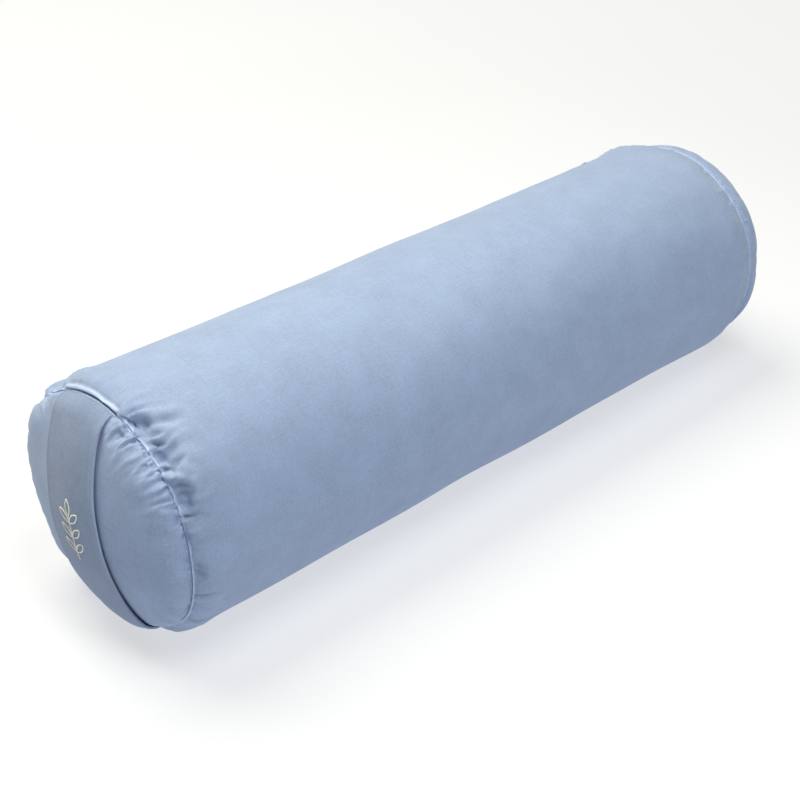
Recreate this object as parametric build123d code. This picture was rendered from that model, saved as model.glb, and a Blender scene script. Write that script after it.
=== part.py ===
from build123d import *

import os
from math import acos, asin, cos, radians, sin, sqrt

# Round yoga and massage bolster: a stuffed cotton liner in a zipped cover, with a carrying strap on one end.
#
# Millimetres. X runs along the bolster, Z is up and the floor is Z = 0. The origin is the middle of the flat
# that the bolster rests on, halfway between its end seams. The strap is on the -X end, and the zip lies high
# on the +Y side. Each layer is the space between two bolster-shaped solids, one a little smaller.

# Overall shape
TUBE_RADIUS = 105.0
SEAM_TO_SEAM = 650.0
SEAM_RADIUS = 94.0  # the end seams are drawn in below the tube's radius
AXIS_HEIGHT = 98.6  # less than the radius, because the underside settles flat

# The two ends, which differ because the strap presses the near one's rim in
NEAR, FAR = -1, 1
SHOULDER = {NEAR: 17.0, FAR: 30.0}  # length over which the tube is drawn in to its end seam
DOME_DEPTH = {NEAR: 36.0, FAR: 34.0}  # how far the end bulges past its seam
RIM_RADIUS = {NEAR: 16.0, FAR: 12.0}  # of the roll at the end's rim
RIM_OUT = {NEAR: 0.0, FAR: 10.0}  # how far past the seam the roll's centre is

# Cloth and thread of the cover
COVER_CLOTH = 1.0
SEAM_ALLOWANCE = 10.0
ALLOWANCE_OVERLAP = 2.0  # how much of the turned-in cloth lies inside the tube itself
THREAD_RADIUS = 0.3
THREAD_GAP = 0.05
STITCH_FROM_SEAM = 2.5

# Strap across the -X end
STRAP_WIDTH = 64.0
STRAP_CLOTH = 2.2
STRAP_GAP = 1.1
STRAP_TILT = 10.0  # degrees that its top end leans towards +Y
STRAP_END = 3.0  # it stops this far outside the seam's plane

# Leaf sprig sewn on the strap
SPRIG_RELIEF = 0.5
STEM_LENGTH = 44.0
STEM_WIDTH = 1.2
LEAF_LENGTH = 14.0
LEAF_WIDTH = 5.0
LEAF_ANGLE = 40.0
LEAF_SPACING = 9.0
LEAF_PAIRS = 3
TOP_LEAF_LENGTH = 11.0

# Zip, in a frame whose Z points out of the cloth
ZIP_ANGLE = 50.0  # degrees up from +Y, round the bolster's axis
ZIP_LENGTH = 560.0
ZIP_FLAT = 1.5  # the stiff tape holds the cloth this far inside the tube's radius
ZIP_GAP = 10.0  # between the two cloth edges
HEM = 12.0
TAPE_WIDTH = 16.0
TAPE_THICK = 0.6
TAPE_TOP = -2.05
TAPE_PAST_END = 6.0
CHAIN_SLIT = 1.4  # between the two coils, where real ones interlock
COIL_OUT = 3.0
COIL_TOP = -0.25
STOP_LENGTH = 2.4
STOP_RISE = 0.3

# Slider, in the zip's frame moved along to where the slider parks
SLIDER_FROM_END = 12.0
SLIDER_LENGTH = 12.0
SLIDER_WIDTH = 9.0
SLIDER_CORNER = 2.2
SLIDER_TOP = 0.75
SLIDER_BOTTOM = -3.85
RUNNING_GAP = 0.2
SLIDER_WALL = 0.6
SLIDER_WALL_BOTTOM = -1.8
POST_LENGTH = 2.0
POST_WIDTH = 1.0
POST_FROM_FRONT = 0.8
BAIL_SPAN = 6.4
BAIL_WIDTH = 2.4
BAIL_BAR = 0.8
BAIL_TOP = 2.65

# Pull tab, hinged in the bail and lying towards -X
TAB_AXIS = 1.3
TAB_BAR_RADIUS = 0.42
TAB_THICK = 0.8
TAB_WIDTH = 7.0
TAB_LENGTH = 27.0
TAB_START = 4.4  # from the hinge to the tab's plate
TAB_ARM = 0.9
TAB_ARM_INSIDE = 1.65
TAB_CORNER = 2.4
TAB_HOLE_RADIUS = 1.6
TAB_HOLE_FROM_TIP = 4.5

# Label inside the cover, beside the zip
LABEL_LENGTH = 35.0
LABEL_WIDTH = 10.0
LABEL_THICK = 0.3
LABEL_START = 60.0
LABEL_FROM_CHAIN = 5.5
LABEL_GAP = 0.15

# Stuffed liner: depths below the outside of the cover
LINER_CLOTH = 0.6
LINER_DEPTH = 2.3
LINER_ZIP_DEPTH = 4.4
LINER_OPENING = 160.0
FILL_GAP = 0.1

HALF = SEAM_TO_SEAM / 2
ZIP_HALF = ZIP_LENGTH / 2
TAPE_HALF = ZIP_HALF + TAPE_PAST_END
SLIDER_PARK = ZIP_HALF - SLIDER_FROM_END
BIG = 2000.0


def block(x, y, z):
    """A box between the two values given for each axis, in either order."""
    low = [min(span) for span in (x, y, z)]
    high = [max(span) for span in (x, y, z)]
    size = [b - a for a, b in zip(low, high)]
    return Pos(*[(a + b) / 2 for a, b in zip(low, high)]) * Box(*size)


def rounded_plate(x, y, z, corner):
    plate = block(x, y, z)
    return fillet(plate.edges().filter_by(Axis.Z), corner)


def slice_x(low, high):
    return block((low, high), (-BIG, BIG), (-BIG, BIG))


def zip_frame():
    """Where the zip is: X along it, Y down the back, Z straight out of the cloth."""
    turn = radians(ZIP_ANGLE)
    distance = TUBE_RADIUS - ZIP_FLAT
    origin = (0, distance * cos(turn), AXIS_HEIGHT + distance * sin(turn))
    return Plane(origin=origin, x_dir=(1, 0, 0), z_dir=(0, cos(turn), sin(turn)))


ZIP = zip_frame()
SLIDER = ZIP * Pos(SLIDER_PARK, 0, 0)


# ---- The bolster's shape ----


def shoulder_points(side):
    """Start, middle and end of the arc that draws the tube in to an end seam, as X and distance from the axis."""
    length, drop = SHOULDER[side], TUBE_RADIUS - SEAM_RADIUS
    radius = (length**2 + drop**2) / (2 * drop)
    start = HALF - length
    half_turn = asin(length / radius) / 2
    middle = (start + radius * sin(half_turn), TUBE_RADIUS - radius * (1 - cos(half_turn)))
    return (start, TUBE_RADIUS), middle, (HALF, SEAM_RADIUS)


def rim_centre(side):
    """The centre of the roll at an end's rim, and the roll's direction at the seam."""
    rim, out = RIM_RADIUS[side], RIM_OUT[side]
    return HALF + out, SEAM_RADIUS - sqrt(rim**2 - out**2), acos(-out / rim)


def rim_points(side):
    """Start, middle and end of the roll at the rim of an end, and the middle of the end."""
    rim, past_roll = RIM_RADIUS[side], DOME_DEPTH[side] - RIM_OUT[side]
    centre_x, centre_r, seam_turn = rim_centre(side)
    crown = (centre_r**2 + past_roll**2 - rim**2) / (2 * (past_roll - rim))
    turn = asin(centre_r / (crown - rim))
    apex = HALF + DOME_DEPTH[side]
    end = (apex - crown * (1 - cos(turn)), crown * sin(turn))
    middle_turn = (seam_turn + turn) / 2
    middle = (centre_x + rim * cos(middle_turn), centre_r + rim * sin(middle_turn))
    return (HALF, SEAM_RADIUS), middle, end, (apex, 0)


def outline(depth):
    """The bolster's lengthwise section, drawn in by depth on every side."""
    edges = []
    for side in (NEAR, FAR):
        *rim, apex = rim_points(side)
        for y_sign in (1, -1):
            for arc in (shoulder_points(side), rim):
                edges.append(ThreePointArc(*[(side * x, y_sign * y) for x, y in arc]))
        x, y = rim[-1]
        edges.append(ThreePointArc((side * x, y), (side * apex[0], 0), (side * x, -y)))
    for y_sign in (1, -1):
        ends = [(side * (HALF - SHOULDER[side]), y_sign * TUBE_RADIUS) for side in (NEAR, FAR)]
        edges.append(Line(*ends))
    face = make_face(edges)
    return offset(face, amount=-depth, kind=Kind.ARC) if depth else face


def bolster(depth, zip_depth=None):
    """A solid of the bolster's shape, depth inside the cover's outer face."""
    upper = Pos(0, BIG / 2) * Rectangle(BIG, BIG)
    solid = Pos(0, 0, AXIS_HEIGHT) * revolve(outline(depth) & upper, Axis.X, 360)
    solid -= block((-BIG, BIG), (-BIG, BIG), (-BIG, depth))
    zip_level = -(depth if zip_depth is None else zip_depth)
    return solid - ZIP * block((-BIG, BIG), (-BIG, BIG), (zip_level, BIG))


# ---- Cover ----


def cover_wrap(outer, under, inner):
    """The main panel with its seam allowances turned in, and a slot with hemmed edges for the zip."""
    panel = (outer - under) & slice_x(-HALF, HALF)
    turned_in = under - inner
    for side in (1, -1):
        ends = (side * (HALF - ALLOWANCE_OVERLAP), side * (HALF + SEAM_ALLOWANCE))
        panel += turned_in & slice_x(*ends)
    hem_edge = ZIP_GAP / 2 + HEM
    panel += turned_in & (ZIP * block((-TAPE_HALF, TAPE_HALF), (-hem_edge, hem_edge), (-HEM, HEM)))
    slot_end = ZIP_HALF + STOP_LENGTH
    return panel - ZIP * block((-slot_end, slot_end), (-ZIP_GAP / 2, ZIP_GAP / 2), (-HEM, HEM))


def end_seam_thread(side):
    """The row of stitches round an end panel, just outside its seam."""
    centre_x, centre_r, seam_turn = rim_centre(side)
    turn = seam_turn - STITCH_FROM_SEAM / RIM_RADIUS[side]
    level = RIM_RADIUS[side] + THREAD_RADIUS + THREAD_GAP
    x = side * (centre_x + level * cos(turn))
    return Pos(x, 0, AXIS_HEIGHT) * Rot(0, 90, 0) * Torus(centre_r + level * sin(turn), THREAD_RADIUS)


def closing_seam_thread():
    """Thread along the tube's own seam, from each end of the zip over the shoulder to the end seam."""
    layer = bolster(-THREAD_GAP - 2 * THREAD_RADIUS) - bolster(-THREAD_GAP)
    across = (-THREAD_RADIUS, THREAD_RADIUS)
    rows = []
    for side in (1, -1):
        along = (side * (TAPE_HALF + 1), side * (HALF - 1))
        rows += (layer & (ZIP * block(along, across, (-HEM, HEM)))).solids()
    return Compound(children=rows)


# ---- Strap ----


def on_near_end(shape):
    """Leans a shape drawn about the Z axis to the strap's tilt, round the bolster's axis."""
    return Pos(0, 0, AXIS_HEIGHT) * Rot(-STRAP_TILT, 0, 0) * shape


def handle_strap():
    """A band of folded cloth from the top of the near end to the bottom, lying over the dome."""
    layer = bolster(-STRAP_GAP - STRAP_CLOTH) - bolster(-STRAP_GAP)
    half = STRAP_WIDTH / 2
    return layer & on_near_end(block((-BIG, -HALF - STRAP_END), (-half, half), (-BIG, BIG)))


def leaf(base, angle, length):
    """A pointed leaf as a flat face, growing from its base along angle."""
    tip = (length, 0)
    right = ThreePointArc((0, 0), (length / 2, -LEAF_WIDTH / 2), tip)
    left = ThreePointArc(tip, (length / 2, LEAF_WIDTH / 2), (0, 0))
    return Pos(*base) * Rot(0, 0, angle) * make_face([right, left])


def handle_embroidery():
    """A raised sprig of leaves on the middle of the strap."""
    sprig = Rectangle(STEM_WIDTH, STEM_LENGTH)
    sprig += leaf((0, STEM_LENGTH / 2 - TOP_LEAF_LENGTH / 2), 90, TOP_LEAF_LENGTH)
    for pair in range(LEAF_PAIRS):
        base = (0, (pair - LEAF_PAIRS / 2) * LEAF_SPACING)
        sprig += leaf(base, LEAF_ANGLE, LEAF_LENGTH) + leaf(base, 180 - LEAF_ANGLE, LEAF_LENGTH)
    outward = Plane(origin=(0, 0, 0), x_dir=(0, -1, 0), z_dir=(-1, 0, 0))
    prism = outward * extrude(sprig, amount=BIG)
    surface = -STRAP_GAP - STRAP_CLOTH
    return (bolster(surface - SPRIG_RELIEF) - bolster(surface)) & on_near_end(prism)


# ---- Zip ----


def zip_tape(side):
    across = (side * CHAIN_SLIT / 2, side * TAPE_WIDTH)
    return ZIP * block((-TAPE_HALF, TAPE_HALF), across, (TAPE_TOP - TAPE_THICK, TAPE_TOP))


def zip_coil(side):
    reach = ZIP_HALF - STOP_LENGTH - RUNNING_GAP
    return ZIP * block((-reach, reach), (side * CHAIN_SLIT / 2, side * COIL_OUT), (TAPE_TOP, COIL_TOP))


def zip_bottom_stop():
    """One clamp across both coils at the -X end."""
    z = (TAPE_TOP, COIL_TOP + STOP_RISE)
    return ZIP * block((-ZIP_HALF, -ZIP_HALF + STOP_LENGTH), (-COIL_OUT, COIL_OUT), z)


def zip_top_stops():
    """A clamp on each coil at the +X end."""
    x = (ZIP_HALF - STOP_LENGTH, ZIP_HALF)
    z = (TAPE_TOP, COIL_TOP + STOP_RISE)
    stops = [ZIP * block(x, (side * CHAIN_SLIT / 2, side * COIL_OUT), z) for side in (1, -1)]
    return Compound(children=stops)


def zip_slider():
    """Two plates joined by a post, with side walls round the chain and a bail on top for the tab."""
    half = SLIDER_LENGTH / 2
    x, y = (-half, half), (-SLIDER_WIDTH / 2, SLIDER_WIDTH / 2)
    upper_face = COIL_TOP + RUNNING_GAP
    lower_face = TAPE_TOP - TAPE_THICK - RUNNING_GAP
    body = rounded_plate(x, y, (upper_face, SLIDER_TOP), SLIDER_CORNER)
    body += rounded_plate(x, y, (SLIDER_BOTTOM, lower_face), SLIDER_CORNER)
    post_front = half - POST_FROM_FRONT
    body += block(
        (post_front - POST_LENGTH, post_front), (-POST_WIDTH / 2, POST_WIDTH / 2), (lower_face, upper_face)
    )
    wall_in = COIL_OUT + RUNNING_GAP
    wall_half = half - SLIDER_CORNER
    for side in (1, -1):
        across = (side * wall_in, side * (wall_in + SLIDER_WALL))
        body += block((-wall_half, wall_half), across, (SLIDER_WALL_BOTTOM, upper_face))
    bail = block((-BAIL_SPAN / 2, BAIL_SPAN / 2), (-BAIL_WIDTH / 2, BAIL_WIDTH / 2), (SLIDER_TOP, BAIL_TOP))
    bail = fillet(bail.edges().filter_by(Axis.Y).group_by(Axis.Z)[-1], BAIL_BAR)
    window = BAIL_SPAN / 2 - BAIL_BAR
    bail -= block((-window, window), (-BAIL_WIDTH, BAIL_WIDTH), (SLIDER_TOP, BAIL_TOP - BAIL_BAR))
    return SLIDER * (body + bail)


def zip_pull_tab():
    """A flat tab with a hole near its tip, hung on a bar through the bail."""
    arm_out = TAB_ARM_INSIDE + TAB_ARM
    half = TAB_THICK / 2
    tab = Rot(90, 0, 0) * Cylinder(TAB_BAR_RADIUS, 2 * arm_out)
    for side in (1, -1):
        tab += block((-TAB_START - 1, 0), (side * TAB_ARM_INSIDE, side * arm_out), (-half, half))
    across = (-TAB_WIDTH / 2, TAB_WIDTH / 2)
    plate = rounded_plate((-TAB_LENGTH, -TAB_START), across, (-half, half), TAB_CORNER)
    plate -= Pos(TAB_HOLE_FROM_TIP - TAB_LENGTH, 0, 0) * Cylinder(TAB_HOLE_RADIUS, 2 * TAB_THICK)
    return SLIDER * Pos(0, 0, TAB_AXIS) * (tab + plate)


def zip_topstitch():
    """A rectangle of thread round the zip, sewn through cloth, hem and tape."""
    along = TAPE_HALF - 1
    across = ZIP_GAP / 2 + HEM / 2
    level = THREAD_RADIUS + THREAD_GAP
    end_length = 2 * (across - THREAD_RADIUS - RUNNING_GAP)
    rows = []
    for side in (1, -1):
        long_row = Rot(0, 90, 0) * Cylinder(THREAD_RADIUS, 2 * along)
        end_row = Rot(90, 0, 0) * Cylinder(THREAD_RADIUS, end_length)
        rows.append(ZIP * Pos(0, side * across, level) * long_row)
        rows.append(ZIP * Pos(side * along, 0, level) * end_row)
    return Compound(children=rows)


def care_label():
    """A blank label sewn to the inside of the lower tape."""
    top = TAPE_TOP - TAPE_THICK - LABEL_GAP
    across = (LABEL_FROM_CHAIN, LABEL_FROM_CHAIN + LABEL_WIDTH)
    return ZIP * block((LABEL_START, LABEL_START + LABEL_LENGTH), across, (top - LABEL_THICK, top))


# ---- Stuffed liner ----


def liner_shell():
    inside = LINER_DEPTH + LINER_CLOTH
    return bolster(LINER_DEPTH, LINER_ZIP_DEPTH) - bolster(inside, LINER_ZIP_DEPTH + LINER_CLOTH)


def kapok_fill():
    inset = LINER_CLOTH + FILL_GAP
    return bolster(LINER_DEPTH + inset, LINER_ZIP_DEPTH + inset)


def liner_closing_stitch():
    """The row of hand stitches that shuts the liner after filling, opposite the zip."""
    turn = radians(ZIP_ANGLE + 180)
    distance = TUBE_RADIUS - LINER_DEPTH + THREAD_RADIUS + THREAD_GAP
    row = Rot(0, 90, 0) * Cylinder(THREAD_RADIUS, LINER_OPENING)
    return Pos(0, distance * cos(turn), AXIS_HEIGHT + distance * sin(turn)) * row


def build():
    outer, under, inner = (bolster(layer * COVER_CLOTH) for layer in range(3))
    cover = outer - under
    liner = liner_shell()
    liner_half = HALF - LINER_DEPTH
    parts = {
        "cover_wrap": cover_wrap(outer, under, inner),
        "cover_end_near": cover & slice_x(-BIG, -HALF),
        "cover_end_far": cover & slice_x(HALF, BIG),
        "near_seam_thread": end_seam_thread(NEAR),
        "far_seam_thread": end_seam_thread(FAR),
        "closing_seam_thread": closing_seam_thread(),
        "handle_strap": handle_strap(),
        "handle_embroidery": handle_embroidery(),
        "zip_tape_upper": zip_tape(-1),
        "zip_tape_lower": zip_tape(1),
        "zip_coil_upper": zip_coil(-1),
        "zip_coil_lower": zip_coil(1),
        "zip_top_stops": zip_top_stops(),
        "zip_bottom_stop": zip_bottom_stop(),
        "zip_slider": zip_slider(),
        "zip_pull_tab": zip_pull_tab(),
        "zip_topstitch": zip_topstitch(),
        "care_label": care_label(),
        "liner_wrap": liner & slice_x(-liner_half, liner_half),
        "liner_end_near": liner & slice_x(-BIG, -liner_half),
        "liner_end_far": liner & slice_x(liner_half, BIG),
        "liner_closing_stitch": liner_closing_stitch(),
        "kapok_fill": kapok_fill(),
    }
    os.makedirs("parts", exist_ok=True)
    for name, shape in parts.items():
        export_step(shape, f"parts/{name}.step")
    hinge = SLIDER * Pos(0, 0, TAB_AXIS)
    print("tab hinge at", hinge.position, "along", ZIP.y_dir)


build()
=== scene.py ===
from math import acos, asin, atan, cos, pi, radians, sin, sqrt

import bmesh
import bpy
import numpy as np
from mathutils import Matrix, Vector, noise


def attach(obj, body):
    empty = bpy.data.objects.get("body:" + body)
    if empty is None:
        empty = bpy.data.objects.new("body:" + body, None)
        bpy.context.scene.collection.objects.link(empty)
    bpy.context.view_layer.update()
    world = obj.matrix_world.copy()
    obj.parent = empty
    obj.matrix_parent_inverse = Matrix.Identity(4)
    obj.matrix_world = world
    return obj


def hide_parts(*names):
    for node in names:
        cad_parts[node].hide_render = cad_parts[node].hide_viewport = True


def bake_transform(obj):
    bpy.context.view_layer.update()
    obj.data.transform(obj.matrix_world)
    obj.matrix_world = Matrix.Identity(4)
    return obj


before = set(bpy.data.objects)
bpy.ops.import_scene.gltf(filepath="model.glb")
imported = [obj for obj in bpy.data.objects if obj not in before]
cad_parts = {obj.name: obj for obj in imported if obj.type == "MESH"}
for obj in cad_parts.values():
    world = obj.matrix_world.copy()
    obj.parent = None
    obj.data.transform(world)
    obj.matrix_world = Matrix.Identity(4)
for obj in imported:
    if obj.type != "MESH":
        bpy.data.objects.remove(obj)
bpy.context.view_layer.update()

# A round bolster: stuffed liner, zipped cotton cover with gathered end seams, and a strap across one end.
#
# Shapes are worked out in millimetres in the CAD's frame, and become metres when a mesh is made. A place on
# the bolster is given by its end (side NEAR or FAR), s, the distance along its outline from that end's seam
# (negative on the tube, positive on the end panel), phi, the angle round its axis up from +Y, and a level
# above the outer face of the cover.

MM = 0.001
NEAR, FAR = -1, 1
END_NAMES = {NEAR: "near", FAR: "far"}

# The CAD model's own dimensions
TUBE_R, HALF, SEAM_R, AXIS = 105.0, 325.0, 94.0, 98.6
ZIP_ANGLE, FACET = radians(50), 103.5
SLOT_X, SLOT_Y, TAPE_X, HEM_Y, SEWN_X, SEWN_Y = 282.4, 5.0, 286.0, 17.0, 285.0, 11.0
STRAP_W, STRAP_THICK, STRAP_GAP, STRAP_TILT = 64.0, 2.2, 1.1, radians(10)
SLIDER_X, TAB_LEVEL = 268.0, 1.3

# The zip's frame: x along it, y down the bolster's back and z out of the cloth
ZIP_ORIGIN = np.array([0, FACET * cos(ZIP_ANGLE), AXIS + FACET * sin(ZIP_ANGLE)])
ZIP_Y = np.array([0, sin(ZIP_ANGLE), -cos(ZIP_ANGLE)])
ZIP_Z = np.array([0, cos(ZIP_ANGLE), sin(ZIP_ANGLE)])


def smooth(value, low, high):
    t = np.clip((np.asarray(value, float) - low) / (high - low), 0, 1)
    return t * t * (3 - 2 * t)


def bell(value, middle, width):
    return np.exp(-(((value - middle) / width) ** 2))


def soft_min(a, b, k):
    h = np.clip(0.5 + 0.5 * (b - a) / k, 0, 1)
    return a * h + b * (1 - h) - k * h * (1 - h)


def turn_between(a, b):
    """The angle from b to a, from -pi to pi."""
    return (a - b + pi) % (2 * pi) - pi


# ---- Outline of the bolster ----


class End:
    """The outline of an end: a shoulder drawn in to the seam, a roll at the rim, and a shallow crown."""

    def __init__(self, shoulder, depth, rim, out):
        drop, past_roll = TUBE_R - SEAM_R, depth - out
        self.shoulder, self.depth, self.rim, self.out = shoulder, depth, rim, out
        self.shoulder_r = (shoulder**2 + drop**2) / (2 * drop)
        self.shoulder_turn = asin(shoulder / self.shoulder_r)
        self.shoulder_arc = self.shoulder_r * self.shoulder_turn
        self.unrolled = HALF - shoulder + self.shoulder_arc
        self.centre = SEAM_R - sqrt(rim**2 - out**2)
        self.seam_turn = acos(-out / rim)
        self.crown = (self.centre**2 + past_roll**2 - rim**2) / (2 * (past_roll - rim))
        self.turn = asin(self.centre / (self.crown - rim))
        self.rim_arc = rim * (self.seam_turn - self.turn)
        self.arc = self.rim_arc + self.crown * self.turn

    def at(self, s):
        """x past the seam's plane and radius at s, and the outward normal there, as (x, radius)."""
        turn = np.clip(self.shoulder_turn + s / self.shoulder_r, 0, self.shoulder_turn)
        x_tube = np.where(s > -self.shoulder_arc, self.shoulder_r * np.sin(turn), self.shoulder_arc + s)
        roll = self.seam_turn - np.clip(s / self.rim, 0, self.seam_turn - self.turn)
        crown = np.clip(self.turn - (s - self.rim_arc) / self.crown, 0, self.turn)
        on_rim = s < self.rim_arc
        t = np.where(on_rim, roll, crown)
        x_end = np.where(on_rim, self.out + self.rim * np.cos(t), self.depth - self.crown * (1 - np.cos(t)))
        r_end = np.where(on_rim, self.centre + self.rim * np.sin(t), self.crown * np.sin(t))
        tube = s <= 0
        x = np.where(tube, x_tube - self.shoulder, x_end)
        r = np.where(tube, TUBE_R - self.shoulder_r * (1 - np.cos(turn)), r_end)
        return x, r, np.where(tube, np.sin(turn), np.cos(t)), np.where(tube, np.cos(turn), np.sin(t))


# The far end's roll is a little less full than the CAD's.
ENDS = {NEAR: End(17.0, 36.0, 16.0, 0.0), FAR: End(30.0, 34.0, 12.5, 8.5)}
FAR_SEAM_OUT = 2.6  # how much less the far seam is drawn in
# The near end where the strap doesn't press it in, and how far it goes towards that on the strap's two sides
FULL_NEAR = End(17.0, 36.0, 12.0, 10.0)
FULL_BY_ZIP, FULL_OPPOSITE = 0.75, 0.4
# Where the near seam is drawn in least, beside the strap's upper end, and how far it is moved there
LOOSE_SEAM, LOOSE_SPREAD = radians(36), radians(21)
LOOSE_ALONG, LOOSE_OUT = 3.0, 5.5


def profile(side, s, phi=None):
    """The outline at s. With phi, the near end is fuller away from the strap, more so on the strap's +Y side,
    and both seams are drawn in less where they are loose."""
    s = np.asarray(s, float)
    pressed = ENDS[side].at(s)
    if phi is None:
        return pressed
    if side == FAR:
        x, r, nx, nr = pressed
        return [x, r + FAR_SEAM_OUT * bell(s, 0.5, 9), nx, nr]
    full = FULL_NEAR.at(s + (FULL_NEAR.arc - ENDS[NEAR].arc) * smooth(s, 4, 60))
    across = pressed[1] * np.cos(phi + STRAP_TILT)
    by_zip, opposite = FULL_BY_ZIP * smooth(across, 36, 74), FULL_OPPOSITE * smooth(-across, 27, 62)
    share = np.where(across > 0, by_zip, opposite) * (s > 0)
    x, r, nx, nr = [a + (b - a) * share for a, b in zip(pressed, full)]
    loose = bell(turn_between(phi, LOOSE_SEAM), 0, LOOSE_SPREAD) * bell(s, 0, 17)
    return [x + LOOSE_ALONG * loose, r + LOOSE_OUT * loose, nx, nr]


def s_at(side, x):
    """s of a place on the tube, x from the middle."""
    return abs(x) - ENDS[side].unrolled


# ---- Gathers: cloth simulation round each end seam ----

PANEL_S = np.arange(-57.2, 47.0, 2.6)
PANEL_N = 288
SEAM_ROW = int(np.argmin(abs(PANEL_S)))
FRAMES, MOVE_FRAMES = 24, 12


def gathered_cloth(side, seed):
    """Displacement (along the axis, outwards, round) of the cloth on both sides of an end seam.

    The tube's edge starts as wide as the tube, and the end panel's to match. The seam ring is then drawn in
    to its real size while pressure holds the cloth out, so the spare cloth gathers.
    """
    rows, n = len(PANEL_S), PANEL_N
    x, r, _, _ = profile(side, PANEL_S)
    widened = r + (TUBE_R - SEAM_R) * np.clip(1 - PANEL_S / PANEL_S[-1], 0, 1)
    flat_r = np.where(PANEL_S > 0, widened, TUBE_R)
    step = np.hypot(np.diff(x), np.diff(r))
    flat_step = np.sqrt(np.maximum(1e-6, step**2 - np.diff(flat_r) ** 2))
    flat_x = np.concatenate([[0], np.cumsum(flat_step)])
    flat_x -= flat_x[SEAM_ROW]
    phi = 2 * pi * np.arange(n) / n

    def ring_points(xs, rs):
        rs = np.broadcast_to(rs, (rows, n))
        xs = np.broadcast_to(xs[:, None], (rows, n))
        return np.stack([side * (HALF + xs), rs * np.cos(phi), AXIS + rs * np.sin(phi)], -1) * MM

    nudge = np.zeros((rows, n))
    for i in range(rows):
        if i != SEAM_ROW:
            weight = 0.8 * np.exp(-abs(PANEL_S[i]) / 20)
            for j in range(n):
                at = Vector((cos(phi[j]) * r[i] / 9, sin(phi[j]) * r[i] / 9, seed + PANEL_S[i] / 40))
                nudge[i, j] = weight * noise.noise(at)
    flat = ring_points(flat_x, flat_r[:, None])
    target = ring_points(x, r[:, None] + nudge)
    faces = []
    for i in range(rows - 1):
        for j in range(n):
            k = (j + 1) % n
            face = (i * n + j, i * n + k, (i + 1) * n + k, (i + 1) * n + j)
            faces.append(face if side > 0 else face[::-1])
    mesh = bpy.data.meshes.new("gather")
    mesh.from_pydata(flat.reshape(-1, 3).tolist(), [], faces)
    ob = bpy.data.objects.new("gather", mesh)
    bpy.context.scene.collection.objects.link(ob)
    ob.shape_key_add(name="Basis")
    key = ob.shape_key_add(name="Target", from_mix=False)
    key.data.foreach_set("co", target.astype(np.float32).ravel())
    for value, when in ((0, 1), (1, MOVE_FRAMES)):
        key.value = value
        key.keyframe_insert("value", frame=when)
    pins = ob.vertex_groups.new(name="pins")
    for i, s in enumerate(PANEL_S):
        edge = max((PANEL_S[0] + 8 - s) / 8, (s - PANEL_S[-1] + 8) / 8)
        weight = 1 if i == SEAM_ROW else min(1, edge)
        if weight > 0:
            pins.add(list(range(i * n, (i + 1) * n)), weight, "REPLACE")
    cloth = ob.modifiers.new("Cloth", "CLOTH")
    c = cloth.settings
    c.quality, c.mass, c.air_damping = 6, 0.02, 1
    c.tension_stiffness = c.compression_stiffness = 15
    c.shear_stiffness, c.bending_stiffness, c.bending_damping = 3, 0.05, 0.5
    c.tension_damping = c.compression_damping = c.shear_damping = 5
    c.vertex_group_mass = "pins"
    c.effector_weights.gravity = 0
    c.use_pressure, c.uniform_pressure_force = True, 4
    cloth.collision_settings.use_collision = False
    cloth.point_cache.frame_start, cloth.point_cache.frame_end = 1, FRAMES
    for f in range(1, FRAMES + 1):
        bpy.context.scene.frame_set(f)
    evaluated = ob.evaluated_get(bpy.context.evaluated_depsgraph_get())
    co = np.zeros(rows * n * 3, np.float32)
    evaluated.data.vertices.foreach_get("co", co)
    co = co.reshape(rows, n, 3) / MM
    bpy.context.scene.frame_set(1)
    bpy.data.objects.remove(ob)
    along = side * co[..., 0] - HALF - x[:, None]
    out = np.hypot(co[..., 1], co[..., 2] - AXIS) - r[:, None]
    turned = turn_between(np.arctan2(co[..., 2] - AXIS, co[..., 1]), phi[None, :]) * r[:, None]
    moved = np.stack([along, out, turned], -1)
    moved -= moved.mean(axis=1, keepdims=True)
    keep = smooth(PANEL_S, -57, -42) * (1 - smooth(PANEL_S, 34, 46))
    return moved * keep[:, None, None]


GATHERS = {}
for end, seed in ((NEAR, 3), (FAR, 11)):
    GATHERS[end] = gathered_cloth(end, seed)

# How strong the gathers are round each end, by phi in degrees: weak under the strap and on the floor, and
# weaker all round at the far end, which is drawn in more gently.
STRENGTH = {
    NEAR: [(0, 0.7), (40, 0.7), (57, 0.4), (64, 0.25), (99, 0.25), (104, 0.9), (125, 1.1), (150, 1.05),
           (175, 0.55), (205, 0.45), (235, 0.35), (250, 0.15), (290, 0.15), (310, 0.5), (360, 0.7)],
    FAR: [(0, 0.35), (60, 0.3), (120, 0.25), (200, 0.35), (250, 0.15), (290, 0.15), (360, 0.35)],
}
# What the simulated gathers are multiplied by on the tube and on the end panel, and every crease's depth
TUBE_SHARE, END_SHARE, CREASE_SHARE = 1.7, 1.1, 1.75

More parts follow.
